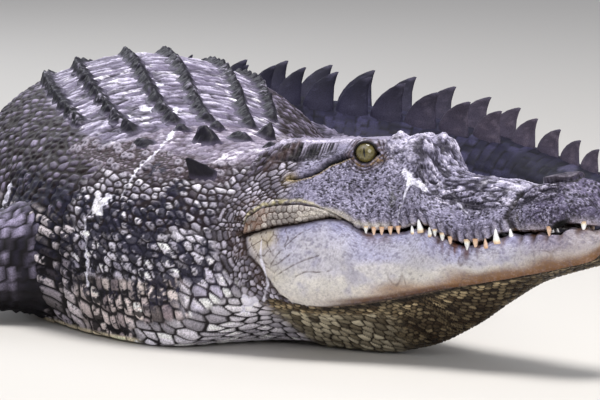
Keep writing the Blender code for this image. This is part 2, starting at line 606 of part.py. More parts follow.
def clear():
    for thing in list(bpy.data.objects):
        bpy.data.objects.remove(thing)


clear()
head()
body()
legs()
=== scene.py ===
"""Looks of the saltwater crocodile: skin, scutes, crest, eyes, teeth and claws, floor, light and camera.

The skin is the surface of the part, skin(s, v, side), meshed finely.  s runs back along the centre line from
the rear edge of the skull (head: s = -x), v runs from the spine (0) round the flank to the belly (8), and
side is 1 right, -1 left.  Scales are raised on it in the mesh, and their colours are kept on its points.
"""

from itertools import product

import bpy
import numpy as np
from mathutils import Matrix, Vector

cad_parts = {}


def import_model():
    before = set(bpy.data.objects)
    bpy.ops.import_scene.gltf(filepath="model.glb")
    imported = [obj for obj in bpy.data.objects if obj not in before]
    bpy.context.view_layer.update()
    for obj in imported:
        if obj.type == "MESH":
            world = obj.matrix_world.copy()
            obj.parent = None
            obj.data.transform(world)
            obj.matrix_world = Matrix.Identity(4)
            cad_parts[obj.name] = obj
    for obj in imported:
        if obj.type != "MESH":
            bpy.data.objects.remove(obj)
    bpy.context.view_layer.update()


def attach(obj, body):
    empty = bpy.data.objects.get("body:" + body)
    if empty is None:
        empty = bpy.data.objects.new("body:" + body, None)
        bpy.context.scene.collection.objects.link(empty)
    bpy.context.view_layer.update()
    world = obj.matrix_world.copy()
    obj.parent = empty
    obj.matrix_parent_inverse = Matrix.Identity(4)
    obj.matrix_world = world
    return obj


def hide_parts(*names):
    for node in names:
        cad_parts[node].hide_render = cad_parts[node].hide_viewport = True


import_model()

HEAD_HEIGHT = 0.335          # rear of the skull table above the floor
HEAD_PITCH = np.radians(7)
HEAD_ROLL = 0.07             # slope by which the left half of the head hangs lower than the right
HEAD_LENGTH = 0.58
ORIGIN_S = 0.90
NECK_BLEND = 0.16
PITCH_BLEND = 0.224
HEAD_END = 0.045
TAIL_END = 3.6
LIP_GAP = 0.008
PALEST = 0.9                 # no colour is brighter than this share of white


def curve(*knots):
    """Monotone cubic through (position, value) knots, held flat beyond the ends."""
    x, y = (np.array(c, float) for c in zip(*knots))
    step = np.diff(x)
    slope = np.diff(y) / step
    tangent = np.zeros(len(x))
    inner = slope[:-1] * slope[1:] > 0
    weight = step[1:] + 2 * step[:-1], 2 * step[1:] + step[:-1]
    with np.errstate(divide="ignore", invalid="ignore"):
        mean = sum(weight) / (weight[0] / slope[:-1] + weight[1] / slope[1:])
    tangent[1:-1] = np.where(inner, mean, 0)
    tangent[0], tangent[-1] = slope[0], slope[-1]

    def value(at):
        at = np.clip(np.asarray(at, float), x[0], x[-1])
        i = np.clip(np.searchsorted(x, at) - 1, 0, len(step) - 1)
        t = (at - x[i]) / step[i]
        return ((1 + 2 * t) * (1 - t) ** 2 * y[i] + t * (1 - t) ** 2 * step[i] * tangent[i]
                + t * t * (3 - 2 * t) * y[i + 1] - t * t * (1 - t) * step[i] * tangent[i + 1])

    return value


def smooth(t):
    t = np.clip(t, 0, 1)
    return t * t * (3 - 2 * t)


def after(x, start, width):
    """0 up to start, rising to 1 over width."""
    return smooth((x - start) / width)


def before(x, end, width):
    """0 from end on, rising to 1 over width in front of it."""
    return smooth((end - x) / width)


def bump(x, centre, half):
    """1 at the centre, falling off to both sides."""
    return np.exp(-((x - centre) / half) ** 2)


def band(x, low, high, soft):
    """1 between low and high, falling to 0 over the distance soft outside."""
    return smooth((x - low) / soft + 1) * smooth((high - x) / soft + 1)


# Heading of the body, in degrees from +X towards -Y, at distances s behind the skull
HEADING = curve((-0.6, 38), (0, 38), (0.16, 50), (0.34, 72), (0.45, 80), (0.6, 83), (0.95, 84), (1.25, 89),
                (1.5, 109), (1.75, 150), (1.9, 176), (2.05, 194), (2.2, 212), (2.35, 226), (2.52, 238),
                (2.75, 236), (3.1, 220), (3.6, 196))
# Body sections: height of the back, half width, height of the widest place, half width of the belly flat
BACK = curve((0, 0.333), (0.1, 0.318), (0.2, 0.317), (0.34, 0.332), (0.5, 0.352), (0.7, 0.371), (0.9, 0.38),
             (1.1, 0.37), (1.3, 0.345), (1.5, 0.303), (1.7, 0.248), (1.9, 0.218), (2.05, 0.197), (2.2, 0.17),
             (2.35, 0.143), (2.5, 0.119), (2.7, 0.097), (2.95, 0.073), (3.25, 0.046), (3.5, 0.024),
             (3.6, 0.012))
WIDTH = curve((0, 0.19), (0.1, 0.212), (0.2, 0.235), (0.34, 0.265), (0.5, 0.295), (0.7, 0.322), (0.9, 0.332),
              (1.1, 0.322), (1.3, 0.28), (1.5, 0.222), (1.7, 0.17), (1.9, 0.135), (2.2, 0.102), (2.6, 0.066),
              (3.1, 0.038), (3.45, 0.018), (3.6, 0.007))
WAIST = curve((0, 0.17), (0.3, 0.15), (0.9, 0.145), (1.5, 0.12), (1.9, 0.085), (2.5, 0.05), (3.1, 0.028),
              (3.6, 0.006))
FLAT = curve((0, 0.1), (0.1, 0.16), (0.2, 0.19), (0.9, 0.245), (1.3, 0.21), (1.5, 0.15), (1.7, 0.1),
             (2.1, 0.055), (2.6, 0.032), (3.1, 0.018), (3.6, 0.003))
FULLNESS = curve((0, 2.3), (0.34, 2.05), (0.6, 1.92), (0.9, 1.88), (1.5, 1.95), (2.2, 1.75), (3.6, 1.7))

# Head sections in the head's own frame, at distances x in front of the skull's rear edge
TOP_Z = curve((-0.05, -0.012), (0, 0), (0.11, -0.002), (0.15, -0.009), (0.2, -0.011), (0.23, -0.011),
              (0.253, -0.021), (0.276, -0.054), (0.3, -0.066), (0.364, -0.077), (0.403, -0.082),
              (0.437, -0.092), (0.455, -0.083), (0.485, -0.078), (0.505, -0.0755), (0.519, -0.0755),
              (0.535, -0.0845), (0.56, -0.097), (0.58, -0.134))
RIDGE_Y = curve((-0.05, 0.09), (0, 0.078), (0.11, 0.064), (0.16, 0.058), (0.25, 0.036), (0.38, 0.031),
                (0.44, 0.028), (0.485, 0.03), (0.54, 0.024), (0.565, 0.016), (0.58, 0.003))
RIDGE_Z = curve((-0.05, -0.014), (0, 0.006), (0.05, 0.002), (0.11, 0.002), (0.15, -0.001), (0.18, -0.005),
                (0.2, 0.0045), (0.217, -0.004), (0.232, 0.001), (0.246, -0.003), (0.27, -0.06), (0.3, -0.073),
                (0.38, -0.084), (0.435, -0.095), (0.455, -0.086), (0.49, -0.081), (0.51, -0.086),
                (0.53, -0.099), (0.555, -0.112), (0.58, -0.142))
LIP_Y = curve((-0.05, 0.172), (0, 0.168), (0.06, 0.158), (0.12, 0.138), (0.18, 0.118), (0.25, 0.1),
              (0.33, 0.088), (0.38, 0.083), (0.41, 0.072), (0.435, 0.056), (0.46, 0.058), (0.5, 0.06),
              (0.535, 0.05), (0.565, 0.031), (0.58, 0.008))
MOUTH_Z = curve((-0.05, -0.14), (-0.03, -0.13), (0, -0.127), (0.06, -0.123), (0.115, -0.117), (0.14, -0.124),
                (0.165, -0.141), (0.195, -0.146), (0.23, -0.147), (0.266, -0.142), (0.298, -0.159),
                (0.342, -0.175), (0.37, -0.175), (0.418, -0.163), (0.5, -0.163), (0.534, -0.156),
                (0.567, -0.163), (0.58, -0.163))
JAW_Y = curve((-0.05, 0.172), (0.02, 0.163), (0.08, 0.145), (0.16, 0.118), (0.24, 0.094), (0.32, 0.076),
              (0.4, 0.062), (0.48, 0.05), (0.54, 0.038), (0.565, 0.024), (0.58, 0.004))
JAW_Z = curve((-0.05, -0.214), (0, -0.23), (0.05, -0.247), (0.1, -0.254), (0.16, -0.253), (0.3, -0.24),
              (0.4, -0.231), (0.5, -0.22), (0.55, -0.212), (0.58, -0.185))
THROAT_Z = curve((-0.05, -0.337), (0.1, -0.349), (0.19, -0.341), (0.285, -0.311), (0.36, -0.274),
                 (0.43, -0.244), (0.5, -0.229), (0.55, -0.218), (0.58, -0.188))
LIP_DEPTH = 0.026            # the upper lip is widest this far above the mouth line
# Bulge of the lower jaw
LIP_FULL = curve((-0.05, 0.01), (0.1, 0.012), (0.3, 0.01), (0.5, 0.012), (0.58, 0.002))

LID_FOLDS = ((1.45, 0.0014), (1.75, 0.0012), (2.05, 0.001))  # rings round the eye's opening, and their depths
EYE_AT, EYE_RADIUS, EYE_RINGS, EYE_AROUND = (0.1535, 0.066, -0.0195), 0.0205, 60, 96
TOOTH_ROOT = 0.006           # length of a tooth inside the gum

# Scutes of the back: offset of each row from the spine, with its first and last scute
ROWS = ((0.036, 0, 14), (0.126, 0, 13), (0.18, 2, 11))
SCUTE_FIRST, SCUTE_PITCH = 0.372, 0.074
SCUTE_LENGTH, SCUTE_WIDTH, SCUTE_HEIGHT = 0.062, 0.034, 0.0165
# Neck shields: (s, offset from the spine, length, width, height of the right one, height of the left one)
NECK_SHIELDS = ((0.065, 0.036, 0.034, 0.026, 0.01, 0.014), (0.112, 0.14, 0.056, 0.03, 0.036, 0.034),
                (0.222, 0.032, 0.054, 0.042, 0.028, 0.015), (0.288, 0.11, 0.05, 0.036, 0.009, 0.027),
                (0.312, 0.03, 0.034, 0.028, 0.01, 0.013))
# Crest of the tail
CREST_PITCH = curve((1.44, 0.054), (1.82, 0.072), (2.22, 0.072), (2.3, 0.064), (2.7, 0.06), (3.1, 0.05),
                    (3.6, 0.032))
CREST_HEIGHT = curve((1.44, 0.026), (1.6, 0.046), (1.85, 0.072), (2.0, 0.074), (2.15, 0.068), (2.35, 0.054),
                     (2.5, 0.045), (2.7, 0.042), (3.1, 0.033), (3.4, 0.022), (3.6, 0.01))
CREST_SPREAD = curve((1.44, 0.045), (1.8, 0.05), (2.1, 0.04), (2.33, 0.014))
CREST_START, CREST_MERGE, CREST_END, CREST_THICK = 1.495, 2.3, 3.55, 0.016
CREST_SHARE = 0.87           # length of a plate as a share of the distance between plates
TAIL_CUTS = (5, 10, 17, 25)  # the tail is parted in front of these crest plates

# Legs.  Each joint is (s, offset from the spine, height), then (across, depth) half sizes of the limb there
NEAR_FRONT_LEG = (((0.38, 0.16, 0.108), (0.07, 0.085)), ((0.405, 0.30, 0.102), (0.07, 0.084)),
                  ((0.455, 0.405, 0.09), (0.056, 0.062)), ((0.41, 0.455, 0.072), (0.049, 0.049)),
                  ((0.36, 0.49, 0.048), (0.038, 0.038)))
FAR_FRONT_LEG = (((0.42, 0.16, 0.13), (0.07, 0.075)), ((0.46, 0.29, 0.13), (0.07, 0.07)),
                 ((0.525, 0.39, 0.115), (0.054, 0.055)), ((0.49, 0.425, 0.082), (0.049, 0.047)),
                 ((0.45, 0.435, 0.048), (0.038, 0.038)))
HIND_LEG = (((1.34, 0.11, 0.135), (0.085, 0.09)), ((1.305, 0.265, 0.14), (0.092, 0.088)),
            ((1.235, 0.375, 0.13), (0.064, 0.062)), ((1.285, 0.43, 0.1), (0.05, 0.05)),
            ((1.345, 0.46, 0.064), (0.037, 0.04)))

# Teeth that show: (x, length)
UPPER_TEETH = ((0.175, 0.007), (0.188, 0.009), (0.201, 0.009), (0.215, 0.009), (0.228, 0.008), (0.292, 0.007),
               (0.305, 0.01), (0.319, 0.009), (0.349, 0.014), (0.365, 0.012), (0.493, 0.011), (0.549, 0.013))
LOWER_TEETH = ((0.253, 0.008), (0.267, 0.016), (0.283, 0.01), (0.383, 0.01), (0.4, 0.018), (0.421, 0.012))


def centre_line():
    """Positions of the centre line on the floor, one per step, integrated from the heading."""
    s = np.arange(0, TAIL_END + 0.011, 0.01)
    angle = np.radians(HEADING((s[1:] + s[:-1]) / 2))
    steps = np.stack([-np.cos(angle), np.sin(angle)], 1) * 0.01
    line = np.vstack([[0, 0], np.cumsum(steps, 0)])
    origin = [np.interp(ORIGIN_S, s, line[:, k]) for k in (0, 1)]
    return s, line - origin


LINE_S, LINE = centre_line()


def station(s):
    """Centre, right and up vectors of the section at s; the centre lies at the skull table's height."""
    s = np.asarray(s, float)
    angle = np.radians(HEADING(s))
    pitch = HEAD_PITCH * (1 - smooth(s / PITCH_BLEND))
    forward = np.stack([np.cos(angle), -np.sin(angle), np.zeros_like(s)], -1)
    right = np.stack([-np.sin(angle), -np.cos(angle), np.zeros_like(s)], -1)
    up = np.array([0, 0, 1.0]) * np.cos(pitch)[..., None] - forward * np.sin(pitch)[..., None]
    ahead = forward * np.cos(HEAD_PITCH) + np.array([0, 0, 1.0]) * np.sin(HEAD_PITCH)
    body = np.stack([np.interp(s, LINE_S, LINE[:, 0]), np.interp(s, LINE_S, LINE[:, 1]),
                     np.full_like(s, HEAD_HEIGHT)], -1)
    return body + ahead * np.maximum(-s, 0)[..., None], right, up


def place(s, y, z):
    """A point of the section at s: y to the right, z up; the head leans a little to the left."""
    centre, right, up = station(s)
    y = np.asarray(y)
    z = z + 2 * np.minimum(y, 0) * HEAD_ROLL * (1 - smooth((np.asarray(s) - HEAD_END) / 0.14))
    return centre + right * y[..., None] + up * np.asarray(z)[..., None]


def head_section(x):
    """The nine guide points (y, z) from crown to throat of the head at x."""
    ridge = np.stack([RIDGE_Y(x), RIDGE_Z(x)], -1)
    lip = np.stack([LIP_Y(x), MOUTH_Z(x) + LIP_DEPTH], -1)
    mouth = np.stack([LIP_Y(x) - 0.003, MOUTH_Z(x)], -1)
    jaw = np.stack([JAW_Y(x), JAW_Z(x)], -1)
    floor = -(HEAD_HEIGHT + x * np.sin(HEAD_PITCH)) / np.cos(HEAD_PITCH)
    throat = np.stack([np.zeros_like(x), np.maximum(THROAT_Z(x), floor)], -1)
    crown = np.stack([np.zeros_like(x), TOP_Z(x)], -1)
    bulge = np.stack([LIP_FULL(x), np.zeros_like(x)], -1)
    side = ridge * 0.42 + lip * 0.58 + bulge * 0.3
    chin = jaw * [0.66, 0.62] + throat * [0, 0.38]
    return np.stack([crown, ridge, side, lip, mouth, (mouth + jaw) / 2 + bulge * 0.8, jaw, chin, throat], -2)


def body_section(s):
    """The nine guide points of the body at s, heights measured from the skull table."""
    full, width, waist, flat = FULLNESS(s), WIDTH(s), WAIST(s), FLAT(s)
    points = []
    for turn in np.radians([0, 22, 45, 68, 90]):
        points.append((width * np.sin(turn) ** (2 / full),
                       waist + (BACK(s) - waist) * abs(np.cos(turn)) ** (2 / full)))
    for turn in np.radians([32, 62, 90]):
        points.append((flat + (width - flat) * np.cos(turn) ** 0.9, waist * (1 - np.sin(turn))))
    points.append((0 * s, 0 * s))
    level = -HEAD_HEIGHT
    return np.stack([np.stack([y, z + level], -1) for y, z in points], -2)


def section(s):
    s = np.atleast_1d(np.asarray(s, float))
    share = smooth((s + 0.03) / (NECK_BLEND + 0.03))[:, None, None]
    return head_section(-s) * (1 - share) + body_section(np.maximum(s, 0)) * share


def skin_yz(s, v):
    """Places (y, z) across each section: an n by m grid for stations s (n) and round coordinates v (m)."""
    guide = section(s)
    v = np.clip(np.asarray(v, float), 0, 8)
    i = np.minimum(v.astype(int), 7)
    t = (v - i)[None, :, None]
    mirror = np.array([-1.0, 1.0])
    padded = np.concatenate([guide[:, 1:2] * mirror, guide, guide[:, 7:8] * mirror], 1)
    a, b, c, d = (padded[:, i + k] for k in range(4))
    return b + 0.5 * t * (c - a + t * (2 * a - 5 * b + 4 * c - d + t * (3 * (b - c) + d - a)))


def skin(s, v, side=1.0):
    """Points of the skin: an n by m grid of positions."""
    yz = skin_yz(s, v)
    s = np.atleast_1d(np.asarray(s, float))[:, None] + 0 * yz[..., 0]
    points = place(s, yz[..., 0] * side, yz[..., 1])
    points[..., 2] = np.maximum(points[..., 2], 0)
    return points


# ---------------------------------------------------------------- repeatable patterns

def hashed(*keys):
    """A repeatable number from 0 to 1 for whole-number keys (arrays)."""
    h = np.full(np.broadcast_shapes(*[np.shape(k) for k in keys]), 2166136261, np.uint32)
    for key in keys:
        h = (h ^ (np.asarray(key).astype(np.int64) & 0xFFFFFFFF).astype(np.uint32)) * np.uint32(16777619)
        h ^= h >> np.uint32(15)
        h *= np.uint32(2246822519)
        h ^= h >> np.uint32(13)
    return h.astype(np.float32) / 4294967296


def noise(points, size, seed=0, octaves=1):
    """Value noise from -1 to 1 at points (..., 3), with features of this size."""
    total, weight = 0, 0
    for octave in range(octaves):
        q = points / (size * 0.5 ** octave) + 37.3 * octave
        cell = np.floor(q)
        t = smooth(q - cell)
        cell = cell.astype(np.int64)
        value = 0
        for corner in product((0, 1), repeat=3):
            share = 1
            for k in range(3):
                share = share * (t[..., k] if corner[k] else 1 - t[..., k])
            value = value + share * hashed(*(cell[..., k] + corner[k] for k in range(3)), seed + octave)
        total = total + (value * 2 - 1) * 0.6 ** octave
        weight += 0.6 ** octave
    return total / weight


def cells(u, w, seed, jitter=0.5, power=2.0, stagger=0.5):
    """Scales on a jittered lattice with one unit between them: how deep inside its scale a point lies (0 on
    the border, about 1 in the middle), a random number per scale, the distance from its middle, and how far
    down in it."""
    row = np.floor(w)
    best = np.full(u.shape, 9.0)
    second, pick, low = best.copy(), np.zeros(u.shape), np.zeros(u.shape)
    for dj in (-1, 0, 1):
        j = row + dj
        shift = (j % 2) * stagger
        column = np.floor(u - shift)
        for di in (-1, 0, 1):
            i = column + di
            du = u - (i + shift + 0.5 + jitter * (hashed(i, j, seed) - 0.5))
            dw = w - (j + 0.5 + jitter * (hashed(i, j, seed + 1) - 0.5))
            d = (abs(du) ** power + abs(dw) ** power) ** (1 / power)
            closer = d < best
            second = np.where(closer, best, np.minimum(second, d))
            pick = np.where(closer, hashed(i, j, seed + 2), pick)
            low = np.where(closer, dw, low)
            best = np.minimum(best, d)
    return second - best, pick, best, low


def rgb(*parts):
    """Linear colour of an sRGB one given in 0..255."""
    c = np.array(parts, float) / 255
    return np.where(c <= 0.04045, c / 12.92, ((c + 0.055) / 1.055) ** 2.4)


def mix(a, b, share):
    return a + (b - a) * np.asarray(share)[..., None]


def layered(tone, *layers):
    """A tone under layers given as colour, share, colour, share and so on; colours are sRGB from 0 to 255."""
    tone = rgb(*tone) if isinstance(tone, tuple) else tone
    for colour, share in zip(layers[::2], layers[1::2]):
        tone = mix(tone, rgb(*colour), share)
    return tone


def near(points, line):
    """Distance of points from a line of 3-D places, and how far along it they are (0 to 1)."""
    line = np.asarray(line, float)
    best, at = np.full(points.shape[:-1], 9.0), np.zeros(points.shape[:-1])
    for k, (a, b) in enumerate(zip(line[:-1], line[1:])):
        t = np.clip(((points - a) @ (b - a)) / max((b - a) @ (b - a), 1e-12), 0, 1)
        d = np.linalg.norm(points - a - t[..., None] * (b - a), axis=-1)
        closer = d < best
        best = np.where(closer, d, best)
        at = np.where(closer, (k + t) / (len(line) - 1), at)
    return best, at


def off_line(q, marks, side, window):
    """Distance of a sheet's points inside the window from a line of (s, v) marks on that side (9 for all
    others), and how far along it they are."""
    far, at = np.full(q.s.shape, 9.0), np.zeros(q.s.shape)
    here = window & (q.side == side)
    if here.any():
        far[here], at[here] = near(q.p[here], on_skin(marks, side))
    return far, at


def on_skin(marks, side=1.0):
    """3-D places of (s, v) marks on the skin."""
    return np.array([skin([s], [v], side)[0, 0] for s, v in marks])


# ---------------------------------------------------------------- meshes

def look_of(name):
    return bpy.data.materials[name]


PIVOT, CONTRAST = 0.3, 1.17  # colours darker than the pivot are deepened, paler ones lifted


def mesh_object(name, points, faces, looks, tint, uv=None, normals=None):
    """A smooth mesh from arrays; faces is a list of equal-length index arrays (quads or triangles)."""
    mesh = bpy.data.meshes.new(name)
    points = np.asarray(points, np.float32).reshape(-1, 3)
    loops = np.concatenate([np.asarray(f).ravel() for f in faces]).astype(np.int32)
    sizes = np.concatenate([np.full(len(f), np.asarray(f).shape[1]) for f in faces])
    mesh.vertices.add(len(points))
    mesh.vertices.foreach_set("co", points.ravel())
    mesh.loops.add(len(loops))
    mesh.loops.foreach_set("vertex_index", loops)
    mesh.polygons.add(len(sizes))
    mesh.polygons.foreach_set("loop_start", np.concatenate([[0], np.cumsum(sizes)[:-1]]).astype(np.int32))
    mesh.update(calc_edges=True)
    tint = np.asarray(tint, np.float32)
    tint = np.clip(PIVOT * (np.maximum(tint, 0) / PIVOT) ** CONTRAST, 0, 0.95).astype(np.float32)
    layer = mesh.color_attributes.new("tint", "FLOAT_COLOR", "POINT")
    layer.data.foreach_set("color", np.hstack([tint, np.ones((len(tint), 1), np.float32)]).ravel())
    if uv is not None:
        mesh.uv_layers.new(name="OFBake").data.foreach_set("uv", np.asarray(uv, np.float32).ravel())
    mesh.polygons.foreach_set("use_smooth", np.ones(len(sizes), bool))
    if normals is not None:
        mesh.normals_split_custom_set_from_vertices(normals.reshape(-1, 3).astype(np.float32))
    mesh.materials.append(looks)
    made = bpy.data.objects.new(name, mesh)
    bpy.context.scene.collection.objects.link(made)
    return made


def grid_faces(rings, columns):
    """Quads and bake coordinates of a grid whose rings are closed."""
    a, k = np.meshgrid(np.arange(rings - 1), np.arange(columns), indexing="ij")
    n = (k + 1) % columns
    quads = np.stack([a * columns + k, (a + 1) * columns + k, (a + 1) * columns + n, a * columns + n], -1)
    low, high = a / (rings - 1), (a + 1) / (rings - 1)
    left, right = k / columns, (k + 1) / columns
    uv = np.stack([np.stack([left, low], -1), np.stack([left, high], -1), np.stack([right, high], -1),
                   np.stack([right, low], -1)], -2)
    return quads.reshape(-1, 4), uv.reshape(-1, 2)


def grid_normals(p):
    n = np.cross(np.gradient(p, axis=0), np.roll(p, -1, 1) - np.roll(p, 1, 1))
    return n / np.maximum(np.linalg.norm(n, axis=-1, keepdims=True), 1e-12)


def spaced(start, end, pitch, *dense):
    """Stations from start to end, pitch apart, and closer within each (low, high, pitch) of dense."""
    fine = np.linspace(start, end, 4001)
    step = np.full(4001, float(pitch))
    for low, high, close in dense:
        step += (close - pitch) * band(fine, low, high, (high - low) * 0.25 + 1e-6)
    run = np.concatenate([[0], np.cumsum((end - start) / 4000 / step[1:])])
    count = int(np.ceil(run[-1]))
    return np.interp(np.linspace(0, run[-1], count + 1), run, fine)


# Height of scales at v
SCALE_TALL = ([0, 2, 3, 4, 5, 6, 8], [0.0105, 0.0108, 0.0115, 0.0125, 0.017, 0.022, 0.03])
# Length of scales at s
SCALE_LONG = ([-0.12, 0, 0.035, 0.07, 0.12, 0.2, 0.35, 0.6, 1.0, 1.5, 3.6],
              [0.0075, 0.0075, 0.0078, 0.0095, 0.0115, 0.0125, 0.0138, 0.017, 0.022, 0.024, 0.024])
RUN_S = np.arange(-0.6, TAIL_END + 0.01, 0.005)
RUN = np.cumsum(0.005 / np.interp(RUN_S, *SCALE_LONG))


class Sheet:
    """A grid of skin points. Columns are the places v on the right and on the left; at a jaw, inner is the
    list of shares of the width at which its inner face is carried on, and jaw is 1 for the upper and -1 for
    the lower one."""

    def __init__(self, s, right_v, left_v, inner=(), jaw=0):
        halves = [(v, np.ones(len(v))) for v in (right_v, left_v)]
        lip = np.full(len(inner), 4.0)
        if jaw > 0:
            halves = [(np.r_[v, lip], np.r_[share, inner]) for v, share in halves]
        elif jaw < 0:
            halves = [(np.r_[lip, v], np.r_[inner[::-1], share]) for v, share in halves]
        (right, share_r), (left, share_l) = halves
        v, share = np.r_[right, left[-2:0:-1]], np.r_[share_r, share_l[-2:0:-1]]
        sides = np.r_[np.ones(len(right)), -np.ones(len(left) - 2)]
        self.rings = len(s)
        s_, v_, share_ = np.asarray(s)[:, None], v[None], share[None]
        yz = skin_yz(s, v)
        y, z = yz[..., 0], yz[..., 1]
        if jaw:
            x = -s_
            gap = LIP_GAP * after(x, 0.1, 0.1) * smooth((HEAD_LENGTH - x) / 0.02) + 0.0004
            z = z + jaw * gap / 2 * smooth(1 - abs(v_ - 4) / 0.3)
            z = z + jaw * (1 - share_) * 0.012 * after(x, 0.1, 0.1)
            y = y * share_
        self.s, self.v, self.side, self.share = (q + 0 * y for q in (s_, v_, sides[None], share_))
        self.y, self.z = y, z
        self.p = place(self.s, y * sides, z)
        self.p[..., 2] = np.maximum(self.p[..., 2], 0)
        fine = np.linspace(0, 8, 161)
        edge = np.linalg.norm(np.diff(skin_yz(s, fine), axis=1), axis=-1)
        middle = (fine[1:] + fine[:-1]) / 2
        girth = np.concatenate([np.zeros((len(s), 1)), np.cumsum(edge, 1)], 1)
        rows = np.concatenate([np.zeros((len(s), 1)), np.cumsum(edge / np.interp(middle, *SCALE_TALL), 1)], 1)
        self.girth = np.stack([np.interp(v, fine, r) for r in girth])
        self.row = np.stack([np.interp(v, fine, r) for r in rows])
        self.run = np.interp(self.s, RUN_S, RUN)
        self.n = grid_normals(self.p)

    def build(self, name, looks, height, colour, extra, node, slot, cap):
        """Raises the skin by height along its normals and makes the piece; the rings at both ends go under
        the neighbouring pieces."""
        p = self.p + self.n * height[..., None] + extra
        p[..., 2] = np.where(self.p[..., 2] < 0.004, self.p[..., 2], np.maximum(p[..., 2], 0.0004))
        normals = grid_normals(p)
        p[0] -= normals[0] * 0.0006
        p[-1] -= normals[-1] * 0.0006
        columns = p.shape[1]
        quads, uv = grid_faces(self.rings, columns)
        points, faces, normal_list = p.reshape(-1, 3), [quads], normals.reshape(-1, 3)
        tint = colour.reshape(-1, 3)
        if cap is not None:
            ring = np.arange(columns) + (0 if cap == 0 else (self.rings - 1) * columns)
            inward = columns if cap == 0 else -columns
            tip = 2 * points[ring].mean(0) - points[ring + inward].mean(0)
            points = np.vstack([points, tip])
            way = tip - points[ring].mean(0)
            normal_list = np.vstack([normal_list, way / np.linalg.norm(way)])
            fan = np.stack([ring, np.roll(ring, -1), np.full(columns, len(points) - 1)], -1)
            faces.append(fan if cap == 0 else fan[:, ::-1])
            uv = np.vstack([uv, np.full((columns * 3, 2), 0.5)])
            tint = np.concatenate([tint, tint[ring[:1]]])
        made = mesh_object(name, points, faces, looks, tint, uv, normal_list)
        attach(made, "root")
        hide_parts(node)
        return made


# ---------------------------------------------------------------- colours of the hide

GROOVE, BROWN, BLACK, WHITE = (58, 50, 50), (96, 84, 82), (24, 22, 28), (232, 230, 244)

# Lines (s, v) on the head: the ear slit, and the cracks of the jaw
EAR = ((-0.136, 1.5), (-0.118, 1.56), (-0.099, 1.63), (-0.087, 1.78), (-0.071, 1.88), (-0.05, 1.93),
       (-0.035, 1.93))
CRACKS = (((-0.017, 5.08), (-0.03, 4.8), (-0.043, 4.59), (-0.067, 4.33), (-0.087, 4.24)),
          ((0.005, 4.74), (-0.015, 5.12), (-0.031, 5.02), (-0.049, 4.81), (-0.06, 4.7)),
          ((-0.027, 5.33), (-0.055, 5.05), (-0.083, 4.9), (-0.1, 4.86)),
          ((-0.009, 4.11), (-0.012, 4.5), (-0.02, 4.7)), ((-0.045, 4.1), (-0.05, 4.4), (-0.043, 4.55)),
          ((-0.06, 5.3), (-0.075, 5.2), (-0.105, 5.24), (-0.12, 5.2)))


class Coat:
    """The relief and colours of one sheet, filled in region by region."""

    def __init__(self, sheet):
        self.sheet = sheet
        self.height = np.zeros(sheet.s.shape)
        self.colour = np.zeros(sheet.p.shape) + rgb(*BROWN)
        self.extra = np.zeros(sheet.p.shape)

    def paint(self, *layers):
        """Layers given as colour, share, colour, share and so on, the last one on top."""
        self.colour = layered(self.colour, *(np.clip(a, 0, 1) if k % 2 else a for k, a in enumerate(layers)))

    def build(self, name, look, node, slot, cap=None):
        self.sheet.build(name, look_of(look), self.height, self.colour, self.extra, node, slot, cap)

    def scales(self, mask, u, w, seed, rise, border, tones, jitter=0.5, power=2.0, vary=0.3, groove=GROOVE,
               core=None, ground=0.0, dome=0.45, stagger=0.5, lit=0.25, dark=0.0):
        """Scales over mask: u, w are lattice coordinates, rise their height, border their edge's share of a
        scale, ground the flat share between them, tones (dark, light) the range of their colour, core a
        colour for their middles, lit how much paler their upper side and darker their lower side are painted
        (a painted highlight and painted shade), dark the share of scales left as dark as the ground."""
        at = mask > 0.003
        if not at.any():
            return
        groove, tones = rgb(*groove), [rgb(*tone) for tone in tones]
        edge, pick, middle, low = cells(u[at], w[at], seed, jitter, power, stagger)
        other = hashed((pick * 99991).astype(int), seed + 7)
        edge = edge - ground * (0.6 + 0.8 * other)
        share = mask[at]
        body = smooth(edge / dome)
        rim = smooth(edge / border)
        tone = mix(np.broadcast_to(tones[0], (len(edge), 3)), tones[1], np.clip(pick * 1.3 - 0.15, 0, 1))
        # Painted highlight and shade: each scale is paler on its upper side and darker on its lower side
        tone = tone * (1 + vary * (other - 0.5) - lit * np.clip(low * 1.6, -0.7, 0.7))[:, None]
        if core is not None:
            tone = mix(tone, rgb(*core), before(middle, 0.3, 0.2) * (other > 0.4) * 0.85)
        if dark:
            tone = mix(tone, groove * 1.25, (hashed((pick * 99991).astype(int), seed + 8) < dark) * 0.75)
        tone = mix(np.broadcast_to(groove, tone.shape), tone, rim)
        self.colour[at] = mix(self.colour[at], tone, share)
        self.height[at] = self.height[at] * (1 - share) + share * rise * (body * 0.65 + rim * 0.35)


# Bands of scales round the chest: narrow in front, wide behind the arms
BANDS_S = np.arange(-0.1, 1.6, 0.004)
BANDS = np.cumsum(0.004 / np.interp(BANDS_S, [0.23, 0.26, 0.28, 0.3], [0.0128, 0.022, 0.036, 0.046]))
JAW_BEND = ((-0.05, 1.75), (-0.005, 2.2), (0.02, 2.75), (0.033, 3.3), (0.036, 3.9), (0.031, 4.6), (0.01, 5.1),
            (-0.008, 5.7), (-0.03, 6.2))


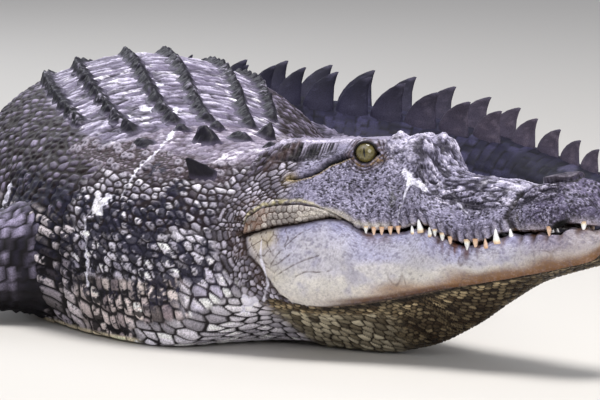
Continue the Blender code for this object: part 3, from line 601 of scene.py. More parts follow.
def body_scales(coat):
    """Everything behind the head."""
    q = coat.sheet
    s, v, c = q.s, q.v, q.girth
    p = q.p
    drift, fine = noise(p, 0.07, 3) * 0.5, noise(p, 0.025, 5) * 0.3
    coarse, blot, speck = noise(p, 0.05, 21, 2), noise(p, 0.011, 22, 3), noise(p, 0.004, 24, 2)
    trunk = 1 - after(s, 1.52, 0.06)
    run, row = q.run + drift, q.row + fine
    # Flank: small pale ovals on a dark ground, in slanting rows
    turn = np.radians(36)
    slant = (run * np.cos(turn) + row * np.sin(turn)) / 1.8
    level = (row * np.cos(turn) - run * np.sin(turn)) * 0.72
    big = smooth((noise(p, 0.03, 26) - 0.25) / 0.2)
    coat.scales(band(v, -1, 4.4, 0.35) * trunk, slant, level, 11, 0.003, 0.22,
                ((46, 39, 48), (134, 126, 146)), vary=0.5, groove=(38, 27, 28), ground=0.22, jitter=0.72,
                dark=0.16, lit=0.5)
    coat.paint((150, 150, 160), big * band(v, 0.8, 3.0, 0.5) * band(s, 0.2, 0.6, 0.05) * smooth(blot + 0.3)
               * 0.35)
    # Neck: rounder, paler scales, the biggest with dark pits in their middles
    neck = band(s, 0.055, 0.275, 0.03) * band(v, 1.35, 4.2, 0.3)
    coat.scales(neck, run * 0.84 + row * 0.3, row * 0.86 - run * 0.12, 13, 0.0028, 0.2,
                ((134, 129, 144), (216, 212, 222)), vary=0.4, groove=(44, 34, 38), ground=0.2, jitter=0.78,
                core=(38, 35, 48), dark=0.12, lit=0.45)
    small = band(s, 0.09, 0.4, 0.03) * band(v, 0.6, 1.9, 0.25)
    coat.scales(small, run * 1.5, row * 1.4, 15, 0.0014, 0.22, ((84, 74, 84), (152, 142, 156)), vary=0.4,
                groove=(58, 46, 50), ground=0.2, jitter=0.85, dark=0.16)
    button, pick, middle, _ = cells(run * 0.56 + 0.2 * row, row * 0.5, 17, 0.85)
    button = small * before(middle, 0.4, 0.06) * after(pick, 0.35, 0.04)
    coat.paint((58, 46, 48), small * bump(middle, 0.43, 0.07) * (pick > 0.35) * 0.85,
               (152, 146, 158), button,
               (60, 55, 66), button * before(middle, 0.19, 0.09) * 0.8)
    coat.height += button * (0.0034 - 0.0012 * before(middle, 0.15, 0.1))
    # Lower neck and chest: polygons with thin dark borders, growing downwards
    low = band(v, 3.75, 6.35, 0.35) * band(s, 0.025, 0.62, 0.035) * trunk
    coat.scales(low, run * 0.7 + row * 0.15, row * 0.8, 31, 0.003, 0.16, ((150, 146, 160), (230, 226, 236)),
                jitter=0.66, groove=(40, 34, 42), vary=0.3, ground=0.1, dark=0.08, lit=0.4)
    # Rear flank below
    rear = smooth((s + 0.1 * coarse - 0.6) / 0.16)
    coat.scales(smooth((v + 0.9 * coarse - 4.3) / 1.3) * rear * trunk, run * 0.9, row * 0.8, 33, 0.0024, 0.2,
                ((84, 76, 80), (158, 148, 148)), jitter=0.45, groove=(50, 42, 42), ground=0.08)
    # Chest: tall rectangles in upright rows; farther back, bands of wide plates with deep folds between them
    column = np.interp(s, BANDS_S, BANDS) + 0.1 * noise(p, 0.05, 38, 2)
    wide = after(s, 0.262, 0.02)
    coat.scales(band(s, 0.125, 0.5, 0.03) * band(v, 4.62, 6.6, 0.14), column,
                c / 0.033 + 0.35 * hashed(np.floor(column), 39),
                37, 0.0036, 0.17, ((122, 112, 116), (200, 190, 188)), jitter=0.35, power=3.5,
                groove=(24, 18, 22), ground=0.11, stagger=0.3, dark=0.14, lit=0.4)
    front = 1 - smooth((s + 0.14 * coarse - 0.5) / 0.14)
    coat.scales(wide * front * band(v, 3.5, 6.8, 0.25), column,
                q.row * 0.85 + 0.5 * hashed(np.floor(column), 39),
                35, 0.0036, 0.17, ((112, 106, 118), (206, 198, 202)), jitter=0.3, power=3.5,
                groove=(24, 18, 22), ground=0.12, stagger=0.3, dark=0.22, lit=0.45)
    # The deep folds between the wide plates are sunk and painted near-black: painted shade in the folds
    shaded_fold = np.exp(-((column - np.round(column)) / 0.085) ** 2) * wide * front * band(v, 3.0, 7.2, 0.5)
    coat.height -= shaded_fold * 0.0055
    coat.paint((26, 20, 24), shaded_fold * 0.95)
    navy = (band(v, 2.9, 4.9, 0.5) * band(s, 0.09, 0.5, 0.05) * after(coarse, -0.5, 0.35)
            + band(v, 1.7, 3.2, 0.4) * band(s, 0.09, 0.2, 0.03) * after(coarse, 0.1, 0.3)
            + band(v, 4.7, 6.0, 0.3) * band(s, 0.1, 0.6, 0.04) * after(coarse, 0.05, 0.2))
    coat.paint((44, 43, 62), np.clip(navy, 0, 1) * after(blot, -0.08, 0.12) * 0.9,
               (16, 13, 20), np.clip(navy, 0, 1) * after(speck, 0.2, 0.2) * 0.8,
               (18, 14, 18), band(v, 4.4, 6.2, 0.4) * band(s, 0.17, 0.4, 0.05)
               * smooth((blot + 0.5 * coarse - 0.04) / 0.12) * 0.88)
    # Belly: square plates in level rows
    coat.scales(band(v, 6.45, 9, 0.25) * after(s, 0.1, 0.06) * trunk, s / 0.033, c / 0.03, 41, 0.002, 0.15,
                ((190, 180, 158), (214, 204, 180)), jitter=0.12, power=5.0, groove=(84, 72, 60), vary=0.12,
                stagger=0, lit=0)
    # Painted light: the lower neck and chest are made paler, standing in for light on the underside
    low = after(v, 4.3, 0.9) * band(s, 0.0, 0.9, 0.3) * (1 - 0.75 * after(s, 0.16, 0.1))
    coat.colour = np.minimum(coat.colour * (1 + 0.65 * low)[..., None], PALEST)
    # Throat: rows of small warm scales, darker towards the front, in dark tones that are partly painted shade
    # under the head
    coat.scales(band(v, 6.3, 9, 0.3) * (1 - after(s, -0.005, 0.05)), s / 0.0105, c / 0.0085, 43, 0.0014, 0.22,
                ((80, 66, 48), (146, 130, 100)), jitter=0.35, power=3.0, groove=(34, 23, 16), vary=0.35)
    under = band(s, -0.02, 0.17, 0.03) * band(v, 5.7, 7.6, 0.3)
    coat.scales(under, s / 0.0165 + v * 0.3, c / 0.0185, 47, 0.0026, 0.16, ((156, 152, 160), (226, 222, 230)),
                jitter=0.66, groove=(40, 34, 38), vary=0.3, ground=0.09, lit=0.35)
    # Round the rear of the jaw: narrow scales that follow its end
    window = (s > -0.12) & (s < 0.16) & (v > 1.2) & (v < 6.8)
    for side in (1, -1):
        d, at = off_line(q, JAW_BEND, side, window)
        coat.scales(before(d, 0.058, 0.025), d / (0.0062 + d * 0.05) + fine, at * 27 + blot * 0.1,
                    45, 0.002, 0.22, ((104, 99, 110), (182, 177, 190)), jitter=0.7, groove=(42, 32, 32),
                    vary=0.45, ground=0.13, dark=0.08, lit=0.4)
        coat.paint((104, 74, 50), before(d, 0.03, 0.02) * band(v, 2.6, 5.6, 0.4) * smooth(blot + 0.4) * 0.3)


def keel_rows():
    """Every scute of the back: (s, offset from the spine, side)."""
    for offset, first, last in ROWS:
        for k in range(first, last + 1):
            s = SCUTE_FIRST + SCUTE_PITCH * k
            spread = max(offset * float(WIDTH(s)) / float(WIDTH(ORIGIN_S)), 0.024)
            for side in (1, -1):
                yield s, spread, side


def back_skin(coat):
    """The shield of the back: keeled scutes under wrinkled skin, with painted highlights where the skin rises
    and painted shade in its creases.
    """
    q = coat.sheet
    s, p = q.s, q.p
    wide = WIDTH(np.maximum(s, 0)) / float(WIDTH(ORIGIN_S))
    offset = abs(q.y) / wide
    rag = noise(p, 0.03, 50, 2)
    mask = smooth((0.205 - offset + 0.02 * rag) / 0.02) * band(s, 0.355 + 0.02 * rag, 1.44, 0.03) * (q.v < 4)
    if mask.max() <= 0:
        return
    wave, grain, spot = noise(p, 0.03, 55, 2), noise(p, 0.008, 57, 3), noise(p, 0.0045, 58, 2)
    along = (s - SCUTE_FIRST) / SCUTE_PITCH + 0.5 + 0.1 * wave
    seam = np.exp(-((along - np.round(along)) / 0.07) ** 2)
    turn = np.stack([q.y * q.side * 0.42, s, 0 * s], -1)
    wrinkle = noise(turn + 0.008 * wave[..., None], 0.013, 59, 3)
    lines = creases(turn + 0.006 * rag[..., None], 0.021, 60, 4.5)
    height = wrinkle * 0.0034 + grain * 0.0015 - lines * 0.0026 - seam * 0.003 + wave * 0.0026
    # Painted highlight: paler where the wrinkles rise, white where waves and wrinkles rise together; painted
    # shade: dark in the creases, seams and low grain
    tone = layered((120, 113, 134), (206, 200, 220), smooth(wrinkle * 1.6 + grain * 0.6 + 0.15),
                   (52, 47, 58), np.clip(lines * 0.85 + seam * 0.5 + smooth(-grain * 1.6 - 0.15) * 0.6, 0, 1),
                   (242, 238, 250), smooth((wave * 0.6 + wrinkle * 0.6 + spot * 0.35 - 0.3) / 0.2) * 0.85,
                   (44, 40, 50), after(spot, 0.3, 0.15) * 0.6)
    coat.colour = mix(coat.colour, tone, mask)
    coat.height = coat.height * (1 - mask) + mask * height


def neck_top(coat):
    """Loose wrinkled skin between the head and the shield of the back, with painted highlights where it rises
    and painted shade in its creases.
    """
    q = coat.sheet
    mask = band(q.s, 0.02, 0.36, 0.03) * smooth((1.3 - q.v + 0.4 * noise(q.p, 0.03, 60)) / 0.35)
    if mask.max() <= 0:
        return
    p = q.p
    wave, grain, spot = noise(p, 0.03, 61, 2), noise(p, 0.009, 62, 3), noise(p, 0.0045, 58, 2)
    lines = creases(p * [1, 1, 1.6], 0.019, 64, 4.5)
    height = grain * 0.0026 - lines * 0.0024 + wave * 0.003
    # Painted highlight: paler and white where grain and waves rise; painted shade: dark in the creases and
    # low grain
    tone = layered((136, 128, 146), (204, 196, 212), smooth(grain * 1.2 + wave * 0.5 + 0.15),
                   (76, 66, 76), np.clip(lines * 0.75 + smooth(-grain * 1.6 - 0.1) * 0.6, 0, 1),
                   (234, 228, 240), smooth((wave + grain * 0.5 - 0.3) / 0.25) * 0.7,
                   (60, 52, 60), after(spot, 0.35, 0.15) * 0.45)
    coat.colour = mix(coat.colour, tone, mask)
    coat.height = coat.height * (1 - mask) + mask * height


def tail_scales(coat):
    q = coat.sheet
    s, c = q.s, q.girth
    mask = smooth((s + 0.06 * noise(q.p, 0.05, 76, 2) - 1.42) / 0.1)
    if mask.max() <= 0:
        return
    knots = crest_stations()
    ring = np.interp(s, [1.3] + knots + [3.6], np.r_[-2.7, np.arange(len(knots)), len(knots)]) * 3
    girth = c.max(1, keepdims=True)
    around = c / np.maximum(girth, 0.02) * np.clip(np.round(girth / 0.02), 7, 40)
    coat.scales(mask, ring + 0.5, around, 71, 0.0016, 0.16, ((36, 35, 54), (62, 60, 86)), jitter=0.25,
                power=4.0, groove=(26, 25, 36), vary=0.3, stagger=0)
    coat.paint((150, 142, 138), mask * after(q.v, 5.8, 1.2) * 0.7)
    coat.height -= mask * 0.002
    coat.paint((112, 104, 116), mask * smooth((noise(q.p, 0.03, 75, 2) + 0.35 - (s - 1.42) / 0.25) / 0.3)
               * (q.v < 6.5) * 0.7,
               (30, 29, 40), mask * smooth((noise(q.p, 0.12, 73, 2) - 0.05) / 0.2) * 0.55 * (q.v < 6),
               (116, 112, 140), mask * smooth((noise(q.p, 0.05, 74, 3) - 0.32) / 0.2) * 0.4 * (q.v < 3))


def crest_stations():
    at = [CREST_START]
    while at[-1] + float(CREST_PITCH(at[-1])) < CREST_END:
        at.append(at[-1] + float(CREST_PITCH(at[-1])))
    return at


# v, and how far back the jaw's hide goes
JAW_REAR = ((4.0, 4.2, 4.6, 5.02, 5.33, 5.55, 5.89, 6.1),
            (0.029, 0.028, 0.024, 0.006, -0.003, -0.011, -0.021, -0.037))
SNOUT_END = 0.582            # the relief fades out towards this x
SOCKET_PITCH = 0.0163


def fold_top(s):
    """Upper edge of the scaly fold at the corner of the mouth."""
    return np.interp(s, [-0.141, -0.119, -0.099, -0.073, -0.035, -0.003, 0.02, 0.03],
                     [3.99, 3.7, 3.15, 2.85, 2.75, 2.81, 3.2, 3.9])


def creases(points, size, seed, sharp=5.0):
    """1 along a net of fine lines about size apart, 0 between them."""
    return 1 - np.minimum(abs(noise(points, size, seed, 2)) * sharp, 1)


def grains(coat, mask, size, seed, rise, dark, light, amount=0.8, share=0.5):
    """Fine pebbly skin: grains this far apart, a share of them dark, standing in paler skin."""
    q = coat.sheet
    at = mask > 0.01
    if not at.any():
        return
    dark, light = rgb(*dark), rgb(*light)
    warp = noise(q.p[at], size * 4, seed + 3, 2)
    edge, pick, middle, _ = cells(q.s[at] / size + warp, q.girth[at] / size, seed, 0.85)
    lump = smooth(edge / 0.5)
    spot = (hashed((pick * 99991).astype(int), seed) < share) * before(middle, 0.62, 0.3)
    tone = mix(coat.colour[at], dark, spot * amount * mask[at])
    tone = mix(tone, light, (1 - spot) * after(pick, 0.35, 0.3) * lump * amount * 0.6 * mask[at])
    coat.colour[at] = mix(tone, dark, before(edge, 0.16, 0.16) * amount * 0.35 * mask[at])
    coat.height[at] += rise * (lump - 0.5) * mask[at]


def head_skin(coat, upper):
    """The head: its parts are painted from the skull forwards, then the line between the jaws."""
    q = coat.sheet
    coat.soft, coat.lump = noise(q.p, 0.05, 81, 2), noise(q.p, 0.014, 82, 3)
    coat.dot = noise(q.p, 0.0045, 83, 2)
    for part in (UPPER_PARTS if upper else LOWER_PARTS):
        part(coat)
    lips(coat, upper)
    coat.height *= before(-q.s, SNOUT_END, 0.03)


def face(coat):
    """Bare hide of the upper head, in place of the neck's scales."""
    q = coat.sheet
    x, v = -q.s, q.v
    coat.face = smooth((x - 0.035 + 0.012 * coat.soft) / 0.03)
    tone = layered((128, 124, 146), (160, 156, 178),
                   np.clip(after(v, 2.6, 1.4) * 0.35 + 0.5 * coat.soft + 0.3, 0, 1),
                   (100, 93, 118), after(x, 0.42, 0.06) * 0.9)
    coat.colour = mix(coat.colour, tone, coat.face)
    coat.height = coat.height * (1 - coat.face)


def skull_table(coat):
    """Skull table: a pale rim, and under it a rough ledge with upright striations and a small horn behind;
    the ledge darkens with depth under the rim, painted shade.
    """
    q = coat.sheet
    s, v, x, lump, dot = q.s, q.v, -q.s, coat.lump, coat.dot
    table = band(x, -0.035, 0.125, 0.02) * before(v, 1.2, 0.15)
    rim = bump(v, 1.02 + 0.05 * coat.soft, 0.1) * band(x, -0.005, 0.14, 0.02)
    ledge = band(x, 0.002, 0.096, 0.012) * band(v, 1.12, 1.5, 0.05)
    stripes = noise(np.stack([x, v * 0.002, q.y * q.side * 0.03], -1), 0.0026, 88, 2)
    depth = after(v, 1.14, 0.2)
    horn = band(s, -0.026, 0.014, 0.01) * bump(v, 1.2 + 12 * (s + 0.02), 0.22)
    coat.height += table * (lump * 0.0016)
    coat.height += rim * 0.0024
    coat.height -= ledge * (0.0016 * depth + smooth(stripes * 2) * 0.0016)
    coat.height += horn * 0.0042
    # Painted shade: the ledge's dark stripes spread and its pale ones fade deeper under the rim
    coat.paint((150, 144, 164), table * 0.8,
               (70, 64, 76), table * smooth(lump * 1.4 + dot * 0.8 - 0.05) * 0.7,
               (206, 200, 218), rim * smooth(dot + lump + 0.7) * 0.85,
               (66, 61, 74), ledge * 0.75,
               (20, 18, 24), ledge * np.clip(smooth(stripes * 2.6 + 0.45 + 0.9 * (depth - 0.5)), 0, 1),
               (186, 180, 198), ledge * smooth(-stripes * 2.6 - 0.1) * (1 - depth * 0.75) * 0.9,
               (40, 36, 44), ledge * bump(v, 1.47, 0.07) * 0.85,
               (78, 62, 62), horn * smooth(dot + 0.8) * 0.8)


def cheek(coat):
    """Cheek and sides of the snout: dark grains on pale skin, with fine creases and upright folds at the
    lip."""
    q = coat.sheet
    x, v, y, z, lump = -q.s, q.v, q.y, q.z, coat.lump
    side = band(v, 1.45, 3.95, 0.25) * coat.face
    cloud, patchy = noise(q.p, 0.028, 107, 3), noise(q.p, 0.011, 108, 2)
    coat.patchy = patchy
    coat.paint((96, 91, 108), side * smooth(-cloud * 1.8 - 0.1) * 0.55,
               (188, 184, 206), side * smooth(cloud * 1.6 - 0.05) * 0.5)
    calm = after(v, 2.9, 0.7) * before(x, 0.44, 0.05)
    grains(coat, side * (1 - 0.7 * calm) * np.clip(0.85 + patchy, 0.3, 1), 0.0038, 102, 0.001, (30, 27, 36),
           (200, 196, 218), 0.95, 0.46)
    grains(coat, side * smooth(patchy * 1.5 + 0.1) * 0.8, 0.0064, 109, 0.0014, (44, 40, 50), (200, 196, 216),
           0.7, 0.24)
    flow = np.stack([x * 0.7 + z * 0.5, z * 1.5 - x * 0.35, y], -1)
    net = creases(flow + 0.006 * coat.soft[..., None], 0.019, 89, 11.0)
    wrap = creases(np.stack([x * 1.6, v * 0.013, 0 * x], -1), 0.016, 90, 7.0)
    folds = band(x, 0.2, 0.52, 0.03) * after(v, 2.3, 0.7)
    coat.height -= side * net * 0.0013
    coat.height -= folds * wrap * 0.0016
    coat.paint((62, 57, 70), side * net * smooth(lump + 0.5) * (1 - 0.6 * calm) * 0.75,
               (66, 68, 46), bump(x, 0.218, 0.007) * bump(v, 2.35, 0.32) * smooth(coat.dot + 0.7) * 0.75,
               (64, 58, 72), folds * wrap * 0.75)


def snout_top(coat):
    """Lumps in front of the eyes and ridges that run down the snout, with painted highlights in white on
    their tops and painted shade between them.
    """
    q = coat.sheet
    x, v, lump, dot = -q.s, q.v, coat.lump, coat.dot
    knobs = band(x, 0.165, 0.275, 0.015) * before(v, 1.9, 0.5)
    boss = noise(q.p, 0.014, 84, 3)
    snout = band(x, 0.25, 0.5, 0.02) * before(v, 2.35, 0.5)
    flow = np.stack([x * 0.34 + 0.004 * coat.soft, q.y * 1.1, q.z * 0.9 - x * 0.1], -1)
    ridge, valley = noise(flow, 0.0085, 85, 2), creases(flow, 0.011, 110, 4.0)
    tops = np.clip(knobs * boss * 1.3 + snout * (ridge - valley * 0.4), -1, 1)
    bony = np.clip(knobs + snout, 0, 1)
    tip = after(x, 0.44, 0.03) * before(v, 1.9, 0.4)
    coat.height += knobs * (boss * 0.005 + lump * 0.0016)
    coat.height += snout * (ridge * 0.0026 - valley * 0.003)
    grains(coat, tip, 0.0042, 115, 0.001, (38, 35, 46), (186, 180, 200), 0.9, 0.4)
    coat.height += tip * lump * 0.002
    coat.paint((60, 55, 70), tip * smooth(coat.patchy * 1.4 + 0.1) * 0.35)
    grains(coat, bony * 0.8, 0.004, 114, 0.0008, (52, 47, 60), (206, 202, 220), 0.7, 0.25)
    coat.height += band(x, 0.13, 0.2, 0.02) * before(v, 1.35, 0.2) * lump * 0.002
    coat.height += bump(v, 1.05, 0.3) * band(x, 0.25, 0.46, 0.03) * (0.0018 + 0.002 * noise(q.p, 0.012, 86))
    # Deep fold behind the front of the snout, sunk and painted dark as painted shade
    fold_at = 0.424 + 0.006 * np.sin(v * 1.7)
    deep = bump(x, fold_at, 0.0045) * band(v, 1.3, 3.9, 0.3)
    coat.height += band(x, 0.432, 0.56, 0.01) * band(v, 1.4, 3.7, 0.6) * 0.003 - deep * 0.0055
    # Painted highlights in white on the tops of the lumps and ridges and along the brow and snout ridges;
    # painted shade between them
    dark = np.clip(smooth(-tops * 3 - 0.3) + snout * after(valley, 0.45, 0.3), 0, 1)
    coat.paint((40, 36, 48), bony * dark * 0.85,
               (222, 217, 234), bony * smooth(tops * 3.2 - 0.3) * smooth(dot + 0.6) * 0.85,
               (214, 209, 226), band(x, 0.17, 0.235, 0.014) * bump(v, 0.8, 0.45) * smooth(dot + lump + 0.35)
               * 0.75,
               (226, 222, 236), band(x, 0.36, 0.46, 0.02) * bump(v, 0.85, 0.4) * smooth(lump * 1.3 + 0.15)
               * 0.75,
               (52, 48, 50), deep * 0.9,
               (74, 70, 58), bump(x, fold_at + 0.013, 0.007) * bump(v, 2.9, 0.5) * smooth(dot + 0.8) * 0.7)


def upper_lip(coat):
    """Sockets of the teeth swell the lip, with folds between them; painted shade darkens the folds and
    painted highlights pale the swellings.
    """
    q = coat.sheet
    x, v = -q.s, q.v
    lobe = 0.5 + 0.5 * np.cos((x - 0.288) / SOCKET_PITCH * 2 * np.pi + coat.soft * 1.5)
    lobes = band(x, 0.16, 0.425, 0.02) * bump(v, 3.62, 0.45)
    front = bump(x, 0.463, 0.028) + bump(x, 0.552, 0.02)
    coat.height += lobes * (lobe ** 0.5 - 0.5) * 0.0046
    coat.height += front * bump(v, 3.4, 0.5) * np.interp(x, [0.48, 0.54], [0.004, 0.001])
    # Painted shade in the folds between the sockets and painted highlights on the swellings
    coat.paint((58, 50, 60), lobes * before(lobe, 0.14, 0.12) * 0.9,
               (190, 184, 200), lobes * after(lobe, 0.5, 0.4) * 0.55,
               (196, 188, 184), bump(v, 3.86, 0.13) * band(x, 0.13, 0.43, 0.03) * smooth(coat.patchy + 0.7)
               * 0.6,
               (196, 188, 196), front * bump(v, 3.75, 0.3) * 0.6)
    for at, length in LOWER_TEETH:
        if length > 0.012:
            coat.height -= bump(x, at, 0.006) * after(v, 3.1, 0.6) * 0.004


def jaw_hide(coat):
    """Smooth pale hide of the lower jaw, browner below and in front, with polygons at its rear."""
    q = coat.sheet
    s, v, x, soft = q.s, q.v, -q.s, coat.soft
    rear = np.interp(v, *JAW_REAR)
    jaw = smooth((rear - s) / 0.004) * before(v, 6.14, 0.1)
    warm = smooth((v - 5.5 + 0.25 * soft) / 0.42)
    tone = layered((196, 192, 192), (180, 178, 196), np.clip(0.55 + soft - (v - 4.7), 0, 1),
                   (226, 220, 200), smooth((v - 4.9 + 0.5 * soft) / 0.5) * 0.6,
                   (154, 118, 80), warm * (0.1 + 0.75 * after(x, 0.1, 0.15)),
                   (176, 174, 200), smooth((4.75 - v + 0.5 * soft) / 0.6) * 0.6 * (1 - warm),
                   (148, 145, 170), smooth(noise(q.p, 0.02, 116, 3) * 1.6 - 0.05) * 0.5 * (1 - warm),
                   (206, 204, 196), smooth(noise(q.p, 0.06, 91, 2) * 1.3 - 0.1) * 0.35 * (1 - warm),
                   (96, 66, 42), after(v, 5.8, 0.16) * after(x, 0.06, 0.1) * 0.9,
                   (44, 28, 18), after(v, 5.98, 0.1) * after(x, 0.06, 0.1) * 0.9,
                   (140, 116, 106), after(x, 0.4, 0.1) * 0.4,
                   (128, 94, 60), smooth((v - 5.15 + 0.3 * soft) / 0.5) * after(x, 0.25, 0.12) * 0.9)
    coat.colour = mix(coat.colour, np.minimum(tone * (0.95, 0.965, 1.05), PALEST), jaw)
    coat.height = coat.height * (1 - jaw)
    coat.height += jaw * (0.003 * smooth(np.clip((rear - s) / 0.03, 0, 1)) + noise(q.p, 0.03, 92, 2) * 0.0016)
    grains(coat, jaw * (0.35 + 0.65 * before(v, 5.4, 0.8)), 0.0042, 104, 0.0006, (112, 107, 128),
           (214, 212, 226), 0.5, 0.34)
    net = creases(q.p * [1, 1, 0.6], 0.034, 105, 22.0) * smooth(soft * 2 + 0.3)
    back = jaw * smooth((0.05 - x + 0.02 * soft) / 0.04) * band(v, 3.85, 5.35, 0.3)
    apart = cells(s / 0.021 + v * 0.35, v * 2.3, 122, 0.75)[0]
    seam = bump(s, rear + 0.001, 0.004) * (v < 6.05) * (v > 4.02)
    # Gum lobes between the front teeth, with painted shade in the dips between them
    lobes = band(x, 0.4, 0.56, 0.02) * bump(v, 4.25, 0.3)
    wave = 0.5 + 0.5 * np.sin(x / 0.026 * 2 * np.pi)
    coat.height -= jaw * net * 0.0006
    coat.height -= back * before(apart, 0.09, 0.06) * 0.001
    coat.height -= seam * 0.0034
    coat.height += lobes * (wave ** 0.7 * 0.0065 - 0.0045)
    coat.paint((116, 108, 118), jaw * after(noise(q.p, 0.0034, 117, 2), 0.3, 0.3) * 0.4,
               (112, 98, 92), jaw * net * 0.55,
               (204, 192, 158), back * (0.3 + 0.3 * smooth(soft * 2)),
               (80, 60, 44), back * before(apart, 0.075, 0.05) * 0.75,
               (54, 40, 34), seam * 0.85,
               (112, 92, 80), lobes * (1 - wave) ** 3 * 0.7)


def under_jaw(coat):
    """Rows of small scales below the jaw, growing to polygons at the throat, with painted shade under the
    jaw.
    """
    q = coat.sheet
    x, v = -q.s, q.v
    mask = after(v, 6.1, 0.1) * after(x, -0.03, 0.03)
    coat.scales(mask, x / 0.0115, q.girth / 0.0085, 94, 0.002, 0.25, ((78, 64, 46), (172, 157, 128)),
                jitter=0.4, power=3.0, groove=(26, 17, 10), vary=0.5, dark=0.18, ground=0.08)
    large = smooth((v - 6.45 + 0.3 * coat.soft) / 0.25) * before(x, 0.21, 0.08) * mask
    coat.scales(large, x / 0.0165 + v * 0.3, q.girth / 0.0175, 121, 0.0026, 0.17,
                ((112, 104, 88), (186, 178, 158)), jitter=0.6, groove=(40, 30, 22), vary=0.35, ground=0.06,
                dark=0.06, lit=0.3)
    # Painted shadow: a near-black line just under the jaw's edge, and painted shade over the lower throat
    # towards the front
    coat.paint((24, 15, 9), mask * bump(v, 6.18, 0.2) * after(x, 0.02, 0.1) * 0.9,
               (34, 22, 12), mask * after(v, 6.7, 0.5) * after(x, 0.06, 0.15) * 0.62)


def lips(coat, upper):
    """The line between the jaws, and the mouth inside it."""
    q = coat.sheet
    x, v = -q.s, q.v
    off = abs(v - 4)
    closed = 1 - after(x, 0.11, 0.05)
    line = band(x, -0.028, 0.6, 0.012)
    coat.height -= line * closed * np.exp(-(off / 0.12) ** 2) * 0.004
    coat.paint((48, 30, 22), line * np.exp(-(off / 0.09) ** 2) * (0.55 + 0.4 * closed))
    gum = after(x, 0.12, 0.04)
    stain = smooth(noise(q.p, 0.012, 97, 2) * 1.6 + 0.1)
    coat.paint((92, 64, 42), gum * np.exp(-(off / 0.3) ** 2) * stain * 0.85,
               (60, 38, 26), band(x, 0.29, 0.37, 0.03) * np.exp(-(off / 0.35) ** 2) * stain * 0.8)
    coat.colour = mix(coat.colour, mix(rgb(92, 62, 42), rgb(46, 26, 18), after(x, 0.48, 0.05)),
                      np.clip(1 - after(q.share, 0.8, 0.2), 0, 1))
    # The notch in the mouth line is sunk and painted black: painted shade in the gap
    notch = bump(x, 0.513, 0.017) * np.exp(-((v - 4) / (0.6 if upper else 0.16)) ** 4)
    coat.height -= notch * 0.004
    coat.paint((14, 10, 12), smooth(notch * 1.6 - 0.2))
    if upper:
        coat.paint((206, 200, 192), bump(v, 3.6, 0.26) * band(x, 0.085, 0.2, 0.03) * 0.75)
    else:
        runs = noise(np.stack([x, v * 0.004, 0 * x], -1), 0.005, 98, 2)
        deep = bump(x, 0.335, 0.034) * smooth((4.75 - v + 0.3 * runs) / 0.45) * smooth(runs * 2 + 0.25)
        coat.paint((92, 52, 28), deep * 0.85)


def cracks(coat):
    """Fine broken lines that branch over the rear of the lower jaw."""
    q = coat.sheet
    window = (q.s > -0.16) & (q.v > 3.9) & (q.v < 6.2)
    broken = after(noise(q.p, 0.006, 119, 2) * 1.5, -0.85, 1)
    waver = 0.0007 * noise(q.p, 0.004, 120)
    for side, marks in product((1, -1), CRACKS):
        share = np.exp(-((off_line(q, marks, side, window)[0] + waver) / 0.0009) ** 2) * broken
        coat.height -= share * 0.0014
        coat.paint((78, 62, 54), share * 0.75)


def fold(coat):
    """Scaly fold of skin above the corner of the mouth."""
    q = coat.sheet
    s, v = q.s, q.v
    top = fold_top(s)
    mask = band(s, -0.142, 0.03, 0.01) * smooth((v - top) / 0.12) * (v <= 4.2)
    coat.scales(mask, s / 0.0105, (v - top) / np.maximum(4 - top, 0.2) * np.clip((4 - top) * 2.6, 0.8, 3.2),
                101, 0.002,
                0.2, ((150, 144, 142), (196, 190, 186)), jitter=0.55, groove=(70, 46, 34), vary=0.3)
    coat.height += mask * 0.0022
    coat.paint((130, 84, 48), mask * after(s, -0.04, 0.04) * smooth(noise(q.p, 0.012, 106, 2) + 0.5) * 0.5)
    rim = bump(v, top - 0.1, 0.09) * band(s, -0.142, 0.02, 0.01)
    coat.height += rim * 0.0014
    coat.paint((192, 184, 152), rim * smooth(noise(q.p, 0.006, 118, 2) + 0.75) * 0.8)
    edge = bump(v, top + 0.02, 0.05) * band(s, -0.142, 0.03, 0.01)
    coat.height -= edge * 0.0018
    coat.paint((52, 38, 32), edge * 0.85)


def ear(coat):
    """The long slit of the ear under the edge of the skull table, with a beaded rim below and a lid above;
    the slit is painted black as painted shade.
    """
    q = coat.sheet
    window = (q.s > -0.16) & (q.s < 0.01) & (q.v > 1) & (q.v < 2.6)
    for side in (1, -1):
        d, at = off_line(q, EAR, side, window)
        below = q.v > np.interp(-q.s, [-m[0] for m in EAR][::-1], [m[1] for m in EAR][::-1])
        width = 0.0038 * np.interp(at, [0, 0.06, 0.16, 0.35, 0.6, 1], [0.2, 0.5, 1.35, 1.4, 0.8, 0.4])
        slit = np.exp(-(d / width) ** 4)
        rim = bump(d - width, 0.0022, 0.0015) * below
        lid = bump(d, 0.008, 0.006) * ~below
        beads = 0.6 + 0.4 * np.cos(at * 150)
        coat.height += lid * 0.003 - slit * 0.009
        coat.height += rim * beads * 0.0016
        # The slit is painted black: painted shade in the opening
        coat.paint((112, 108, 128), lid * 0.5,
                   (168, 150, 96), np.exp(-(d / 0.01) ** 2) * after(at, 0.75, 0.2) * 0.5,
                   (6, 5, 6), slit,
                   (160, 142, 100), rim * (0.5 + 0.5 * beads) * 0.85)


